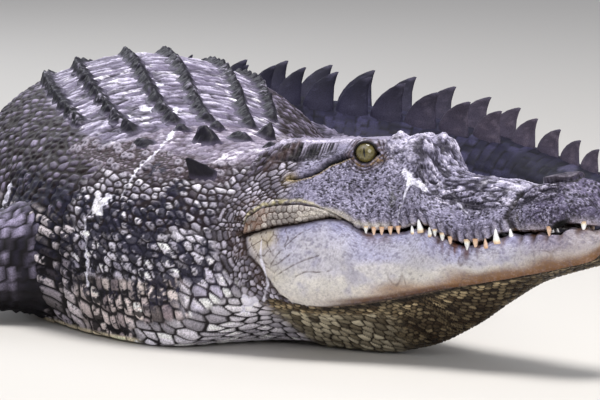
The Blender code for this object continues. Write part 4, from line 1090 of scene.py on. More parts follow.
def nose(coat):
    """The raised pad of the nostrils at the end of the snout; the groove round it and the nostril slit are
    painted near-black as painted shade.
    """
    q = coat.sheet
    x, y, v = -q.s, q.y, q.v
    above = v < 2.6
    far = np.hypot((x - 0.489) / 0.034, y / 0.027)
    disc = before(far, 1.08, 0.06) * above
    coat.height -= before(far, 1.75, 0.6) * above * np.interp(x, [0.48, 0.52], [0.008, 0.003])
    coat.height = coat.height * (1 - disc) + disc * (0.0025 + noise(q.p, 0.008, 111, 2) * 0.0008)
    groove = bump(far, 1.15, 0.07) * above
    coat.height -= groove * 0.001
    # The groove round the pad is painted near-black: painted shade in the groove
    coat.paint((74, 68, 80), disc * 0.9,
               (152, 144, 158), bump(far, 0.97, 0.06) * disc * smooth(noise(q.p, 0.006, 112, 2) + 0.4) * 0.7,
               (22, 19, 24), groove * 0.95)
    slit = np.exp(-(((x - 0.494 + (y - 0.011) * 0.5) / 0.0085) ** 2
                    + ((y - 0.011 - 10 * (x - 0.494) ** 2) / 0.003) ** 2) ** 2)
    # The nostril slit is sunk and painted black: painted shade in the opening
    coat.height -= slit * 0.006 * above
    coat.paint(BLACK, slit * above)
    for px, pv, size in ((0.533, 2.07, 0.0045), (0.553, 2.3, 0.0025), (0.541, 2.9, 0.002),
                         (0.56, 1.7, 0.002)):
        pit = np.exp(-(((x - px) / size) ** 2 + ((v - pv) / (size * 40)) ** 2))
        coat.height -= pit * 0.0016
        coat.paint((40, 36, 44), pit * 0.9)


def eye_axes(side):
    """Centre of the eye and its outward, forward and upward directions."""
    x, y, z = EYE_AT
    _, right, up = (a for a in station(np.array(-x)))
    forward = np.cross(up, right)
    centre = place(np.array(-x), y * side, z)
    out = right * side * np.cos(np.radians(21)) + forward * np.sin(np.radians(21))
    out = out * np.cos(np.radians(3)) + up * np.sin(np.radians(3))
    ahead = np.cross(up, out) * -side
    ahead /= np.linalg.norm(ahead)
    if ahead @ forward < 0:
        ahead = -ahead
    rise = np.cross(out, ahead)
    rise *= np.sign(rise @ up)
    return centre, out / np.linalg.norm(out), ahead, rise / np.linalg.norm(rise)


def eye_lids(coat):
    """Lids that hug the eyeball: the skin is carried out over it, and drops behind it in the opening."""
    q = coat.sheet
    for side in (1, -1):
        centre, out, ahead, rise = eye_axes(side)
        rel = q.p + q.n * coat.height[..., None] - centre
        a, b, deep = rel @ ahead, rel @ rise, rel @ out
        r = np.hypot(a, b)
        here = (r < 0.05) & (deep > -0.02) & (q.side == side)
        if not here.any():
            continue
        # Opening: rounded, drawn out to a corner in front and behind; o is 1 at its edge
        reach = np.where(a > 0, 0.0178 + 0.006 * bump(b, -0.004, 0.0035),
                         0.0172 + 0.002 * bump(b, -0.002, 0.004))
        o = np.hypot(a / reach, b / np.where(b > 0, 0.0158, 0.016))
        turn = np.arctan2(b, a)
        bead = 0.5 + 0.5 * np.cos(turn * 34)
        lid = EYE_RADIUS + 0.0022 + 0.0014 * bump(o, 1.15, 0.08) + 0.0009 * bead * bump(o, 1.32, 0.09)
        dome = np.sqrt(np.maximum(lid ** 2 - a ** 2 - b ** 2, 0)) - 0.002 * after(o, 1.35, 0.3)
        over = before(r, 0.0255, 0.006)
        raised = np.maximum(deep, dome * over + deep * (1 - over))
        raised = deep + np.maximum(raised - deep, 0) + np.minimum(dome - deep, 0) * before(r, 0.021, 0.004)
        inner = np.sqrt(np.maximum(EYE_RADIUS ** 2 - a ** 2 - b ** 2, 0)) - 0.004
        hole = before(o, 1.0, 0.06)
        raised = raised * (1 - hole) + np.minimum(inner, raised) * hole
        ringed = 0
        for ring, depth in LID_FOLDS:
            wavy = o + 0.05 * np.sin(turn * 5 + ring * 4) - ring
            raised = raised - np.exp(-(wavy / 0.05) ** 2) * depth * (r < 0.045)
            ringed = ringed + np.exp(-(wavy / 0.06) ** 2)
        coat.extra += ((raised - deep) * here)[..., None] * out
        front = np.exp(-(((a - 0.026) / 0.014) ** 2 + ((b + 0.004) / 0.011) ** 2))
        corner = np.exp(-(((a - 0.024) / 0.011) ** 2 + ((b + 0.012) / 0.005) ** 2))
        rim = bump(o, 1.36, 0.07) * smooth((-b - 0.004) / 0.004)
        edge = smooth((1.17 + 0.1 * smooth(b / 0.01) - o) / 0.08)
        coat.paint((86, 70, 72), here * np.maximum(before(o, 2.2, 0.8), front)
                   * smooth(noise(q.p, 0.0035, 113) + 0.7) * 0.85,
                   (40, 32, 36), here * ringed * 0.7,
                   (150, 122, 74), here * np.clip(corner + rim, 0, 1)
                   * smooth(noise(q.p, 0.0028, 123) * 2 + 0.5) * 0.8,
                   (24, 20, 20), here * edge * 0.95)


UPPER_PARTS = (face, skull_table, cheek, snout_top, upper_lip, nose, ear, eye_lids, fold)
LOWER_PARTS = (jaw_hide, under_jaw, cracks)


# ---------------------------------------------------------------- scutes, crest, teeth, claws, eyes

def surface(s, offset, side):
    """A point of the skin at this offset from the spine, its outward normal, the direction of the tail, and
    how much the skin is stretched there along the body by its bend."""
    v = np.linspace(0, 4, 81)
    width = np.interp(v, np.arange(9), section(s)[0][:, 0])
    at = np.interp(offset, width, v)
    step = 0.01
    here = skin([s - step, s, s + step], [max(at - 0.1, 0), at, at + 0.1], side)
    back = Vector(here[2, 1] - here[0, 1])
    stretch = back.length / (2 * step)
    back.normalize()
    normal = back.cross(Vector(here[1, 2] - here[1, 0])).normalized()
    if normal.z < 0:
        normal = -normal
    return Vector(here[1, 1]), normal, back, stretch


def axes(origin, along, up):
    """Origin and the three square axes (along, across, up) as arrays."""
    across = up.cross(along).normalized()
    return np.array(origin), np.array(along), np.array(across), np.array(along.cross(across).normalized())


def patch(a, b, h, place_):
    """Points of a grid given in local lengths (a along, b across, h up)."""
    origin, along, across, up = place_
    return origin + a[..., None] * along + b[..., None] * across + h[..., None] * up


def open_grid(rings, columns):
    """Quads of a grid whose rings are open."""
    a, k = np.meshgrid(np.arange(rings - 1), np.arange(columns - 1), indexing="ij")
    at = a * columns + k
    return np.stack([at, at + columns, at + columns + 1, at + 1], -1).reshape(-1, 4)


def turned(quads):
    """The same quads, facing the other way."""
    return quads[:, [0, 3, 2, 1]]


def turns(count):
    """Angles of count points round a ring."""
    return np.arange(count) / count * 2 * np.pi


def mesh_of(rings, around):
    """Share of the way along (0 to 1) and angle, for every point of a tube."""
    return np.meshgrid(np.linspace(0, 1, rings), turns(around), indexing="ij")


class Heap:
    """Many small forms gathered into one piece."""

    def __init__(self):
        self.points, self.faces, self.colours, self.count = [], [], [], 0

    def add(self, points, faces, colours):
        points = np.asarray(points).reshape(-1, 3)
        self.points.append(points)
        self.faces.append(np.asarray(faces) + self.count)
        self.colours.append(np.broadcast_to(colours, points.shape).reshape(-1, 3) if np.ndim(colours) < 3
                            else colours.reshape(-1, 3))
        self.count += len(points)

    def build(self, name, looks, slot, replaces=()):
        made = mesh_object(name, np.vstack(self.points), self.faces, looks, np.vstack(self.colours))
        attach(made, "root")
        if replaces:
            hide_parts(*replaces)
        return made


def keel(heap, s, offset, side, length, width, height, seed, blunt=0.0):
    """One keeled scute: a rough blade that rises to a hooked peak near its rear edge, or a blunt boss."""
    where, normal, back, stretch = surface(s, offset, side)
    length *= min(stretch, 1)
    place_ = axes(where, back, normal)
    a, b = np.meshgrid(np.linspace(-1, 1, 33), np.linspace(-1, 1, 23), indexing="ij")
    r = hashed(seed, 1)
    knots = [-1, -0.85, -0.5, 0, 0.35, 0.66, 0.82, 0.95, 1]
    crown = np.interp(a, knots, [0, 0.34, 0.66, 0.84, 0.94, 1.0, 0.9, 0.42, 0])
    crown = crown * (1 - blunt) + blunt * np.interp(a, knots, [0, 0.4, 0.78, 1.0, 0.96, 0.82, 0.62, 0.3, 0])
    ridge = np.clip(1 - abs(b) * (1.02 + 0.12 * abs(a)), 0, 1)
    blade = (0.42 + 0.2 * blunt) * smooth(ridge * 1.15) + (0.58 - 0.2 * blunt) * ridge ** (2.0 - 0.6 * blunt)
    flare = np.sqrt(np.clip(1 - 0.5 * a * a, 0, 1))
    h = height * crown * blade
    x = a * length / 2 + (0.1 - 0.08 * blunt) * length * (h / height) ** 2
    y = b * width * 0.6 * flare
    p = patch(x, y, h, place_)
    lump, grain = noise(p, 0.011, 201 + seed, 2), noise(p, 0.0045, 202 + seed, 2)
    h = h * (1 + 0.3 * lump * (1 - ridge ** 8)) + (lump * 0.0022 + grain * 0.0011) * smooth(h / 0.003)
    edge = np.maximum(abs(a), abs(b)) > 0.99
    h = np.where(edge, -0.004, h - 0.0006)
    p = patch(x, y, h, place_)
    low = smooth(h / (height * 0.3))
    # Painted highlight and shade: paler where the lumps rise and darkest in their hollows on the blade
    tone = layered((88, 82, 100), (36, 33, 45), low,
                   (15, 13, 19), smooth(-lump * 1.6 - 0.02) * 0.8 * low,
                   (138, 132, 156), smooth(lump * 1.6 + grain - 0.6) * 0.5 * (0.6 + 0.4 * blunt),
                   (206, 200, 218), after(r, 0.7, 0.1) * smooth(grain * 1.4 + lump - 0.25) * 0.6)
    heap.add(p, open_grid(33, 23), tone)


def fin(heap, tops, s, offset, side, length, height, seed):
    """One plate of the tail's crest: a leaning fin, thick at its base; the fan that closes it goes to
    tops."""
    where, normal, back, stretch = surface(s, offset, side)
    length *= min(stretch, 1)
    place_ = axes(where, back, (Vector((0, 0, 1)) * 2 + normal).normalized())
    levels, around = 16, 20
    q, turn = mesh_of(levels, around)
    front = np.interp(q, [0, 0.2, 0.4, 0.6, 0.8, 0.93, 1], [-0.55, -0.5, -0.4, -0.24, 0.0, 0.24, 0.42])
    rear = np.interp(q, [0, 0.25, 0.6, 0.85, 1], [0.56, 0.5, 0.44, 0.46, 0.5])
    thick = CREST_THICK * height / 0.07 * (1.15 - q) ** 1.1 * 0.62
    c, d = np.cos(turn), np.sin(turn)
    x = ((front + rear) / 2 + (rear - front) / 2 * np.sign(c) * abs(c) ** 0.8) * length
    y = d * thick * (0.55 + 0.45 * abs(d)) * 0.8
    h = q * height * (1 - 0.03 * (1 - abs(c))) - 0.012 * (q < 0.01)
    grain = noise(patch(x, y, h, place_), 0.009, 301 + seed, 2)
    ribs = np.sin(x / 0.0042 + q * 4 + grain * 2)
    p = patch(x, y * (1 + 0.12 * grain) + np.sign(y) * ribs * 0.0004, h, place_)
    tone = layered((66, 64, 84), (42, 41, 56), smooth(q),
                   (96, 94, 118), smooth(grain * 1.5 + ribs * 0.2 - 0.3) * 0.5,
                   (120, 116, 138), after(q, 0.86, 0.12) * 0.35,
                   (122, 112, 124), after(s, 1.95, 0.35) * (0.35 + 0.35 * smooth(grain * 2)))
    tip = patch(np.array(0.49 * length), np.array(0.0), np.array(height), place_)
    base = heap.count
    heap.add(np.vstack([p.reshape(-1, 3), tip]), turned(grid_faces(levels, around)[0]),
             np.vstack([tone.reshape(-1, 3), tone[-1, 0]]))
    top = np.arange(around) + (levels - 1) * around + base
    tops.append(np.stack([top, np.roll(top, -1), np.full(around, heap.count - 1)], -1))


def cone(base, tip, bend, radius, rings=9, around=12, blunt=0.12):
    """A curved tapering horn from base to tip, bowed towards bend: its points, quads and shares of the
    way."""
    t = np.linspace(0, 1, rings)
    axis = tip - base
    axis = axis / np.linalg.norm(axis)
    side = np.cross(axis, [0, 0, 1.0] if abs(axis[2]) < 0.9 else [1.0, 0, 0])
    side /= np.linalg.norm(side)
    other = np.cross(axis, side)
    centre = base + (tip - base) * t[:, None] + np.asarray(bend) * (4 * t * (1 - t))[:, None]
    r = radius * np.sqrt(np.clip(1 - t ** 1.6 * (1 - blunt * 0.5), 0.002, 1)) * (1 - 0.55 * t)
    r[-1] = radius * 0.03
    turn = turns(around)[:, None]
    p = centre[:, None] + (side * np.cos(turn) + other * np.sin(turn))[None] * r[:, None, None]
    return p, turned(grid_faces(rings, around)[0]), t[:, None] + 0 * p[..., 0]


def teeth():
    heap = Heap()
    for rows, sign in ((UPPER_TEETH, -1), (LOWER_TEETH, 1)):
        for (n, (x, length)), side in product(enumerate(rows), (1, -1)):
            _, right, up = station(np.array(-x))
            y = (float(LIP_Y(x)) - 0.0035) * side
            root = place(np.array(-x), y, float(MOUTH_Z(x)) - sign * (LIP_GAP / 2 + TOOTH_ROOT - 0.001))
            lean = up * sign + right * side * 0.1 + np.cross(up, right) * 0.16 * (hashed(n, sign + 9) - 0.5)
            lean /= np.linalg.norm(lean)
            p, quads, t = cone(root, root + lean * (length + TOOTH_ROOT), right * side * 0.0008,
                               0.0028 + length * 0.22, 12, 16, blunt=0.4)
            stained = 0.7 * (hashed(n, sign + 5) > 0.74)
            heap.add(p, quads, layered((252, 246, 236), (208, 182, 150), before(t, 0.4, 0.4),
                                       (200, 160, 130), stained + 0 * t))
    heap.build("teeth", look_of("ivory"), "jaw_hide")


def eyes():
    """The eyeballs: greenish iris with an upright slit, a pale glint above it that is a painted reflection of
    the sky, and a dark rim that is painted shade under the lids.
    """
    for side, name in ((1, "right"), (-1, "left")):
        centre, out, ahead, rise = eye_axes(side)
        q, turn = mesh_of(EYE_RINGS, EYE_AROUND)
        q = q * 2.0
        r = np.sin(q) * EYE_RADIUS
        a, b = r * np.cos(turn), r * np.sin(turn)
        p = centre + a[..., None] * ahead + b[..., None] * rise + (np.cos(q) * EYE_RADIUS)[..., None] * out
        fibre = noise(np.stack([turn * 0.05, q * 0.02, 0 * q], -1), 0.0032, 401, 3)
        glint = np.exp(-((a / 0.006) ** 2 + ((b - 0.0085) / 0.0035) ** 2))
        slit = smooth((1.0 - np.sqrt((a / 0.0017) ** 2 + (b / 0.0086) ** 2)) / 0.2)
        # Painted reflection: the pale glint of the sky; painted shade: the dark rim under the lids
        tone = layered((108, 99, 58), (68, 62, 34), smooth(fibre + 0.3),
                       (138, 130, 86), smooth((0.009 - abs(r - 0.0085)) / 0.007) * 0.5
                       * smooth(noise(p, 0.0022, 402, 2) + 0.6),
                       (150, 148, 150), glint * 0.55,
                       (58, 48, 28), after(r, 0.0142, 0.003),
                       (26, 20, 16), after(r, 0.017, 0.0018),
                       (8, 7, 6), slit)
        quads = grid_faces(EYE_RINGS, EYE_AROUND)[0]
        heap = Heap()
        heap.add(p, quads[:, ::-1] if np.linalg.det(np.stack([ahead, rise, out])) < 0 else quads, tone)
        heap.build("eyeball_" + name, look_of("eye_wet"), "eye", ("eye_" + name,))


# ---------------------------------------------------------------- legs

def spline(rows, count):
    """Rows of numbers turned into count rows on one smooth line through them (Catmull-Rom)."""
    rows = np.asarray(rows, float)
    padded = np.vstack([2 * rows[0] - rows[1], rows, 2 * rows[-1] - rows[-2]])
    t = np.linspace(0, len(rows) - 1 - 1e-9, count)
    i = t.astype(int)
    f = (t - i)[:, None]
    a, b, c, d = (padded[i + k] for k in range(4))
    return b + 0.5 * f * (c - a + f * (2 * a - 5 * b + 4 * c - d + f * (3 * (b - c) + d - a)))


def leg_path(joints, side, turn, foot):
    """Centre line of a leg and foot with its half sizes, the foot's direction, the way inwards, and the
    ankle."""
    points = []
    for (s, offset, height), size in joints:
        centre, right, _ = station(np.array(s))
        points.append([*(centre + right * offset * side)[:2], height, *size])
    outward = right * side
    ahead = np.cross([0, 0, 1.0], right) * np.cos(np.radians(turn)) + outward * np.sin(np.radians(turn))
    ahead /= np.linalg.norm(ahead)
    ankle = np.array(points[-1][:3]) * [1, 1, 0]
    for part, wide, high in ((0.3, 0.72, 0.05), (0.65, 0.95, 0.034), (1.0, 0.86, 0.022), (1.1, 0.5, 0.014)):
        middle = ankle + ahead * foot["length"] * part
        points.append([middle[0], middle[1], high * 0.5, foot["width"] * wide, high * 0.5])
    return np.array(points), ahead, -outward, ankle


def outside_trunk(p):
    """Signed distance of points from the trunk (negative inside), by the nearest section."""
    flat = p[:, :2]
    index = np.argmin(np.linalg.norm(flat[:, None] - LINE[None, 20:170:2], axis=-1), 1) * 2 + 20
    away = np.full(len(p), 1.0)
    fine = np.linspace(0, 8, 97)
    for k in np.unique(index):
        here = index == k
        centre, right, up = station(LINE_S[k])
        local = np.stack([abs((p[here] - centre) @ right), (p[here] - centre) @ up], -1)
        ring = skin_yz([LINE_S[k]], fine)[0]
        d = np.linalg.norm(local[:, None] - ring[None], axis=-1)
        j = np.argmin(d, 1)
        tangent = ring[np.minimum(j + 1, 96)] - ring[np.maximum(j - 1, 0)]
        rel = local - ring[j]
        sign = np.sign(rel[:, 0] * -tangent[:, 1] + rel[:, 1] * tangent[:, 0])
        away[here] = d.min(1) * np.where(sign == 0, 1, sign)
    return away


UP = np.array([0, 0, 1.0])
FILLET = 0.055               # how far from the trunk's surface its fillet with a leg reaches
LEG_PARTS, LEG_RINGS, LEG_AROUND = ("upper", "lower", "foot"), 150, 120
TOE_RINGS, TOE_AROUND, WEB_GRID = 26, 24, (10, 14)
CLAWED, CLAW_LENGTH = 3, 0.0235
FRONT_FOOT = dict(length=0.075, width=0.05, toes=5, spread=100, toe=0.062, toe_width=0.0115, web=0.3)
HIND_FOOT = dict(length=0.115, width=0.055, toes=4, spread=62, toe=0.1, toe_width=0.0125, web=0.75)
# Legs: name, joints, side, the way the foot points in degrees outward from the head, and the foot
LEGS = (("front_leg_right", NEAR_FRONT_LEG, 1, 35, FRONT_FOOT),
        ("front_leg_left", FAR_FRONT_LEG, -1, 15, FRONT_FOOT),
        ("hind_leg_right", HIND_LEG, 1, 55, HIND_FOOT), ("hind_leg_left", HIND_LEG, -1, 55, HIND_FOOT))


def fillet(away):
    """Height of the fillet at this distance from the other surface."""
    return np.clip(FILLET - abs(away), 0, None) ** 2 / (4 * FILLET)


def flesh(heap, path):
    """The skin of a leg from inside the trunk to the foot: rings along its smooth centre line."""
    rows = spline(path, LEG_RINGS)
    rows[:, 3:] = np.maximum(rows[:, 3:], 0.004)
    centre = rows[:, :3]
    tangent = np.gradient(centre, axis=0)
    tangent /= np.linalg.norm(tangent, axis=1, keepdims=True)
    level = np.cross(tangent, UP)
    level /= np.linalg.norm(level, axis=1, keepdims=True)
    rise = np.cross(level, tangent)
    angle, t = turns(LEG_AROUND)[None], np.linspace(0, 1, LEG_RINGS)[:, None]
    muscle = 1 + 0.05 * np.sin(t * 9) * np.cos(angle) ** 2
    p = centre[:, None] + (level[:, None] * (np.cos(angle) * rows[:, 3:4] * muscle)[..., None]
                           + rise[:, None] * (np.sin(angle) * rows[:, 4:5] * muscle)[..., None])
    n = grid_normals(p)
    outward = np.sign(((p - centre[:, None]) * n).sum(-1).mean())
    n = n * outward
    away = outside_trunk(p.reshape(-1, 3)).reshape(p.shape[:2])
    p = p + n * (fillet(away) * (t < 0.6))[..., None]
    steps = np.linalg.norm(np.diff(centre, axis=0), axis=1)
    length = np.concatenate([[0], np.cumsum(steps)])[:, None] + 0 * away
    # Scales in rings; over the upper leg the skin lies in folds
    upper = before(t, 0.4, 0.2)
    edge, pick, _, _ = cells(length / 0.0155 + noise(p, 0.06, 501) * 0.4, angle / (2 * np.pi) * 24, 503, 0.35,
                             3.0, 0.5)
    rim = after(edge, 0.06, 0.24)
    folds = np.sin((length / 0.021 + noise(p, 0.05, 505) * 1.2) * 2 * np.pi)
    height = 0.0026 * (0.7 * smooth(edge / 0.5) + 0.3 * rim) + folds * 0.0024 * upper
    height *= before(t, 1.02, 0.1)
    # Painted light and shade: paler where the skin faces up, dark on the underside and in the troughs of the
    # folds
    top = after(n[..., 2], 0.35, 0.3)
    tone = layered((46, 42, 57), (146, 139, 160), smooth(pick * 2.2 - 0.85),
                   (22, 20, 31), smooth(noise(p, 0.05, 507, 2) * 2 + 0.1) * 0.65 * (1 - top),
                   (158, 151, 176), top * (0.25 + 0.5 * pick),
                   (20, 17, 22), smooth(-n[..., 2] * 1.6 - 0.1) * 0.8)
    tone = layered(mix(rgb(20, 16, 20), tone, rim), (36, 31, 38), smooth(-folds - 0.2) * 0.8 * upper)
    p = p + n * height[..., None]
    p[..., 2] = np.maximum(p[..., 2], 0.0)
    quads = grid_faces(LEG_RINGS, LEG_AROUND)[0]
    heap.add(p, quads[:, ::-1] if outward < 0 else quads, tone)
    return rows


def toe(heap, claws, k, start, way, long_, width):
    """One toe, knuckled and scaled, with a claw on the three inner ones."""
    steps = np.linspace(-0.25, 1.0, TOE_RINGS)[:, None]
    radius = width * np.interp(steps, [-0.25, 0.1, 0.8, 0.96, 1.0], [1.15, 1.05, 0.85, 0.62, 0.25])
    radius = radius * (1 + 0.12 * np.cos(steps * 3 * 2 * np.pi))
    spot = start + way * (steps * long_)
    spot[:, 2] = np.maximum(radius[:, 0] * 0.8, 0.004)
    ring = turns(TOE_AROUND)[None]
    p = spot[:, None] + np.cross(way, UP) * (np.cos(ring) * radius)[..., None]
    p[..., 2] += np.sin(ring) * radius * 0.82
    edge, pick, _, _ = cells(steps * long_ / 0.011 + 0 * ring, ring / (2 * np.pi) * 6 + 0 * steps, 511 + k,
                             0.2, 4.0)
    scale = smooth(edge / 0.3)
    p[..., 2] += scale * 0.0009 * (np.sin(ring) > 0)
    p[..., 2] = np.maximum(p[..., 2], 0.0003)
    heap.add(p, grid_faces(TOE_RINGS, TOE_AROUND)[0],
             layered((50, 46, 54), (118, 110, 120), scale * (0.5 + 0.5 * pick)))
    if k < CLAWED:
        base, tip = start + way * long_ * 0.93, start + way * (long_ + CLAW_LENGTH)
        base[2], tip[2] = 0.0085, 0.0025
        p, quads, t = cone(base, tip, [0, 0, 0.0035], 0.0052, 12, 14)
        p[..., 2] = np.maximum(p[..., 2], 0.0003)
        claws.add(p, quads, layered((58, 50, 46), (24, 22, 24), smooth(t)))


def web(heap, a0, a1, b0, b1):
    """Skin between two toes, from a0 to a1 along one and from b0 to b1 along the next."""
    across, along = WEB_GRID
    u, w = np.meshgrid(np.linspace(0, 1, across), np.linspace(0, 1, along), indexing="ij")
    reach = (w * (1 - 0.35 * np.sin(u * np.pi)))[..., None]
    top = (a0 + (a1 - a0) * reach) * (1 - u[..., None]) + (b0 + (b1 - b0) * reach) * u[..., None]
    low = top.copy()
    top[..., 2] = 0.0075 - 0.0025 * np.sin(u * np.pi) - 0.003 * w
    low[..., 2] = 0.0015
    quads = open_grid(across, along)
    if np.cross(a1 - a0, b0 - a0)[2] > 0:
        quads = quads[:, ::-1]
    rim, under = np.arange(across) * along + along - 1, across * along
    skirt = np.stack([rim[:-1], rim[:-1] + under, rim[1:] + under, rim[1:]], -1)
    heap.add(np.concatenate([top.reshape(-1, 3), low.reshape(-1, 3)]),
             np.vstack([quads, quads[:, ::-1] + under, skirt]), rgb(84, 76, 84))


def leg(name, joints, side, turn, foot, claws):
    """A leg with its foot flat on the floor: toes in a fan, claws on the inner ones, webs between."""
    path, ahead, inward, ankle = leg_path(joints, side, turn, foot)
    heap = Heap()
    rows = flesh(heap, path)
    across = np.cross(UP, ahead)
    across *= np.sign(across @ inward) or 1
    knuckles = ankle + ahead * foot["length"] * 0.86
    lines = []
    for k in range(foot["toes"]):
        place_ = k / (foot["toes"] - 1) - 0.5
        fan = np.radians(-place_ * foot["spread"])
        way = ahead * np.cos(fan) + across * np.sin(fan)
        start = knuckles - across * place_ * foot["width"] * 1.3 + [0, 0, 0.009]
        long_ = foot["toe"] * (1 - 0.9 * abs(place_ + 0.1) ** 2)
        toe(heap, claws, k, start, way, long_, foot["toe_width"])
        lines.append((start, start + way * long_ * foot["web"]))
    for (a0, a1), (b0, b1) in zip(lines[:-1], lines[1:]):
        web(heap, a0, a1, b0, b1)
    heap.build(name + "_skin", look_of("hide_limb"), "limb_hide", [f"{name}_{part}" for part in LEG_PARTS])
    return rows


# ---------------------------------------------------------------- materials

def hide_material(name, roughness=0.62, speck=0.35, speck_size=330.0, grain=0.25, coat=0.0):
    m = bpy.data.materials.new(name)
    m.use_nodes = True
    tree = m.node_tree
    shader = tree.nodes["Principled BSDF"]
    shader.inputs["Specular IOR Level"].default_value = 0.24
    shader.inputs["Coat Weight"].default_value = coat
    shader.inputs["Coat Roughness"].default_value = 0.3
    tint = tree.nodes.new("ShaderNodeAttribute")
    tint.attribute_name = "tint"
    place_ = tree.nodes.new("ShaderNodeTexCoord")

    def texture(scale, detail, rough=0.6):
        node = tree.nodes.new("ShaderNodeTexNoise")
        node.inputs["Scale"].default_value = scale
        node.inputs["Detail"].default_value = detail
        node.inputs["Roughness"].default_value = rough
        tree.links.new(place_.outputs["Object"], node.inputs["Vector"])
        return node.outputs["Fac"]

    def ramp(value, low, high, start, end):
        node = tree.nodes.new("ShaderNodeMapRange")
        tree.links.new(value, node.inputs["Value"])
        for key, number in zip(("From Min", "From Max", "To Min", "To Max"), (low, high, start, end)):
            node.inputs[key].default_value = number
        return node.outputs["Result"]

    def times(a, b):
        node = tree.nodes.new("ShaderNodeMix")
        node.data_type, node.blend_type = "RGBA", "MULTIPLY"
        node.inputs["Factor"].default_value = 1.0
        tree.links.new(a, node.inputs[6])
        tree.links.new(b, node.inputs[7])
        return node.outputs[2]

    specks = texture(speck_size, 3.0)
    cloud = texture(26.0, 4.0)
    colour = times(tint.outputs["Color"], ramp(specks, 0.38, 0.58, 1.0 - speck, 1.0 + speck * 0.35))
    colour = times(colour, ramp(cloud, 0.3, 0.7, 0.88, 1.12))
    tree.links.new(colour, shader.inputs["Base Color"])
    tree.links.new(ramp(specks, 0.3, 0.7, roughness - 0.12, roughness + 0.12), shader.inputs["Roughness"])
    bumps = tree.nodes.new("ShaderNodeBump")
    bumps.inputs["Strength"].default_value = grain
    bumps.inputs["Distance"].default_value = 0.0012
    tree.links.new(texture(620.0, 3.0), bumps.inputs["Height"])
    tree.links.new(bumps.outputs["Normal"], shader.inputs["Normal"])
    return m


def eye_material():
    m = hide_material("eye_wet", roughness=0.16, speck=0.12, speck_size=900.0, grain=0.02, coat=1.0)
    m.node_tree.nodes["Principled BSDF"].inputs["Coat Roughness"].default_value = 0.03
    return m


def materials():
    hide_material("hide_body")
    hide_material("hide_head", speck=0.42, speck_size=420.0, roughness=0.56)
    hide_material("hide_jaw", speck=0.12, speck_size=380.0, roughness=0.5, grain=0.15)
    hide_material("hide_limb")
    hide_material("horn", roughness=0.55, speck=0.3, speck_size=500.0, grain=0.4)
    hide_material("claw", roughness=0.35, speck=0.15, speck_size=500.0, grain=0.15, coat=0.3)
    hide_material("ivory", roughness=0.3, speck=0.12, speck_size=700.0, grain=0.1, coat=0.4)
    eye_material()


# ---------------------------------------------------------------- the animal

BODY_CUTS = (0, 4, 10, 15)   # the trunk is parted in front of these rows of scutes
OVERLAP = 0.0015             # neighbouring skins overlap by this much at each end
SNOUT_TIP = 0.5785
# Lengths of the body: name, distance between rings, and columns on the right and on the left
LENGTHS = (("neck", 0.0016, 400, 110), ("shoulders", 0.0021, 400, 130), ("belly", 0.0032, 330, 150),
           ("hips", 0.0038, 200, 150), ("tail_root", 0.004, 100, 90), ("tail_front", 0.0045, 70, 60),
           ("tail_middle", 0.0045, 50, 50), ("tail_rear", 0.005, 40, 40), ("tail_tip", 0.005, 30, 30))


def legs_near(sheet, paths):
    """Height that carries the trunk over into the roots of the legs."""
    height = np.zeros(sheet.s.shape)
    for rows in paths:
        root = rows[:90:6]
        box = np.linalg.norm(sheet.p - root[len(root) // 2, :3], axis=-1) < 0.35
        if not box.any():
            continue
        p = sheet.p[box]
        gap = np.linalg.norm(p[:, None] - root[None, :, :3], axis=-1)
        gap -= (root[None, :, 3] + root[None, :, 4]) / 2
        height[box] += fillet(gap.min(1))
    return height


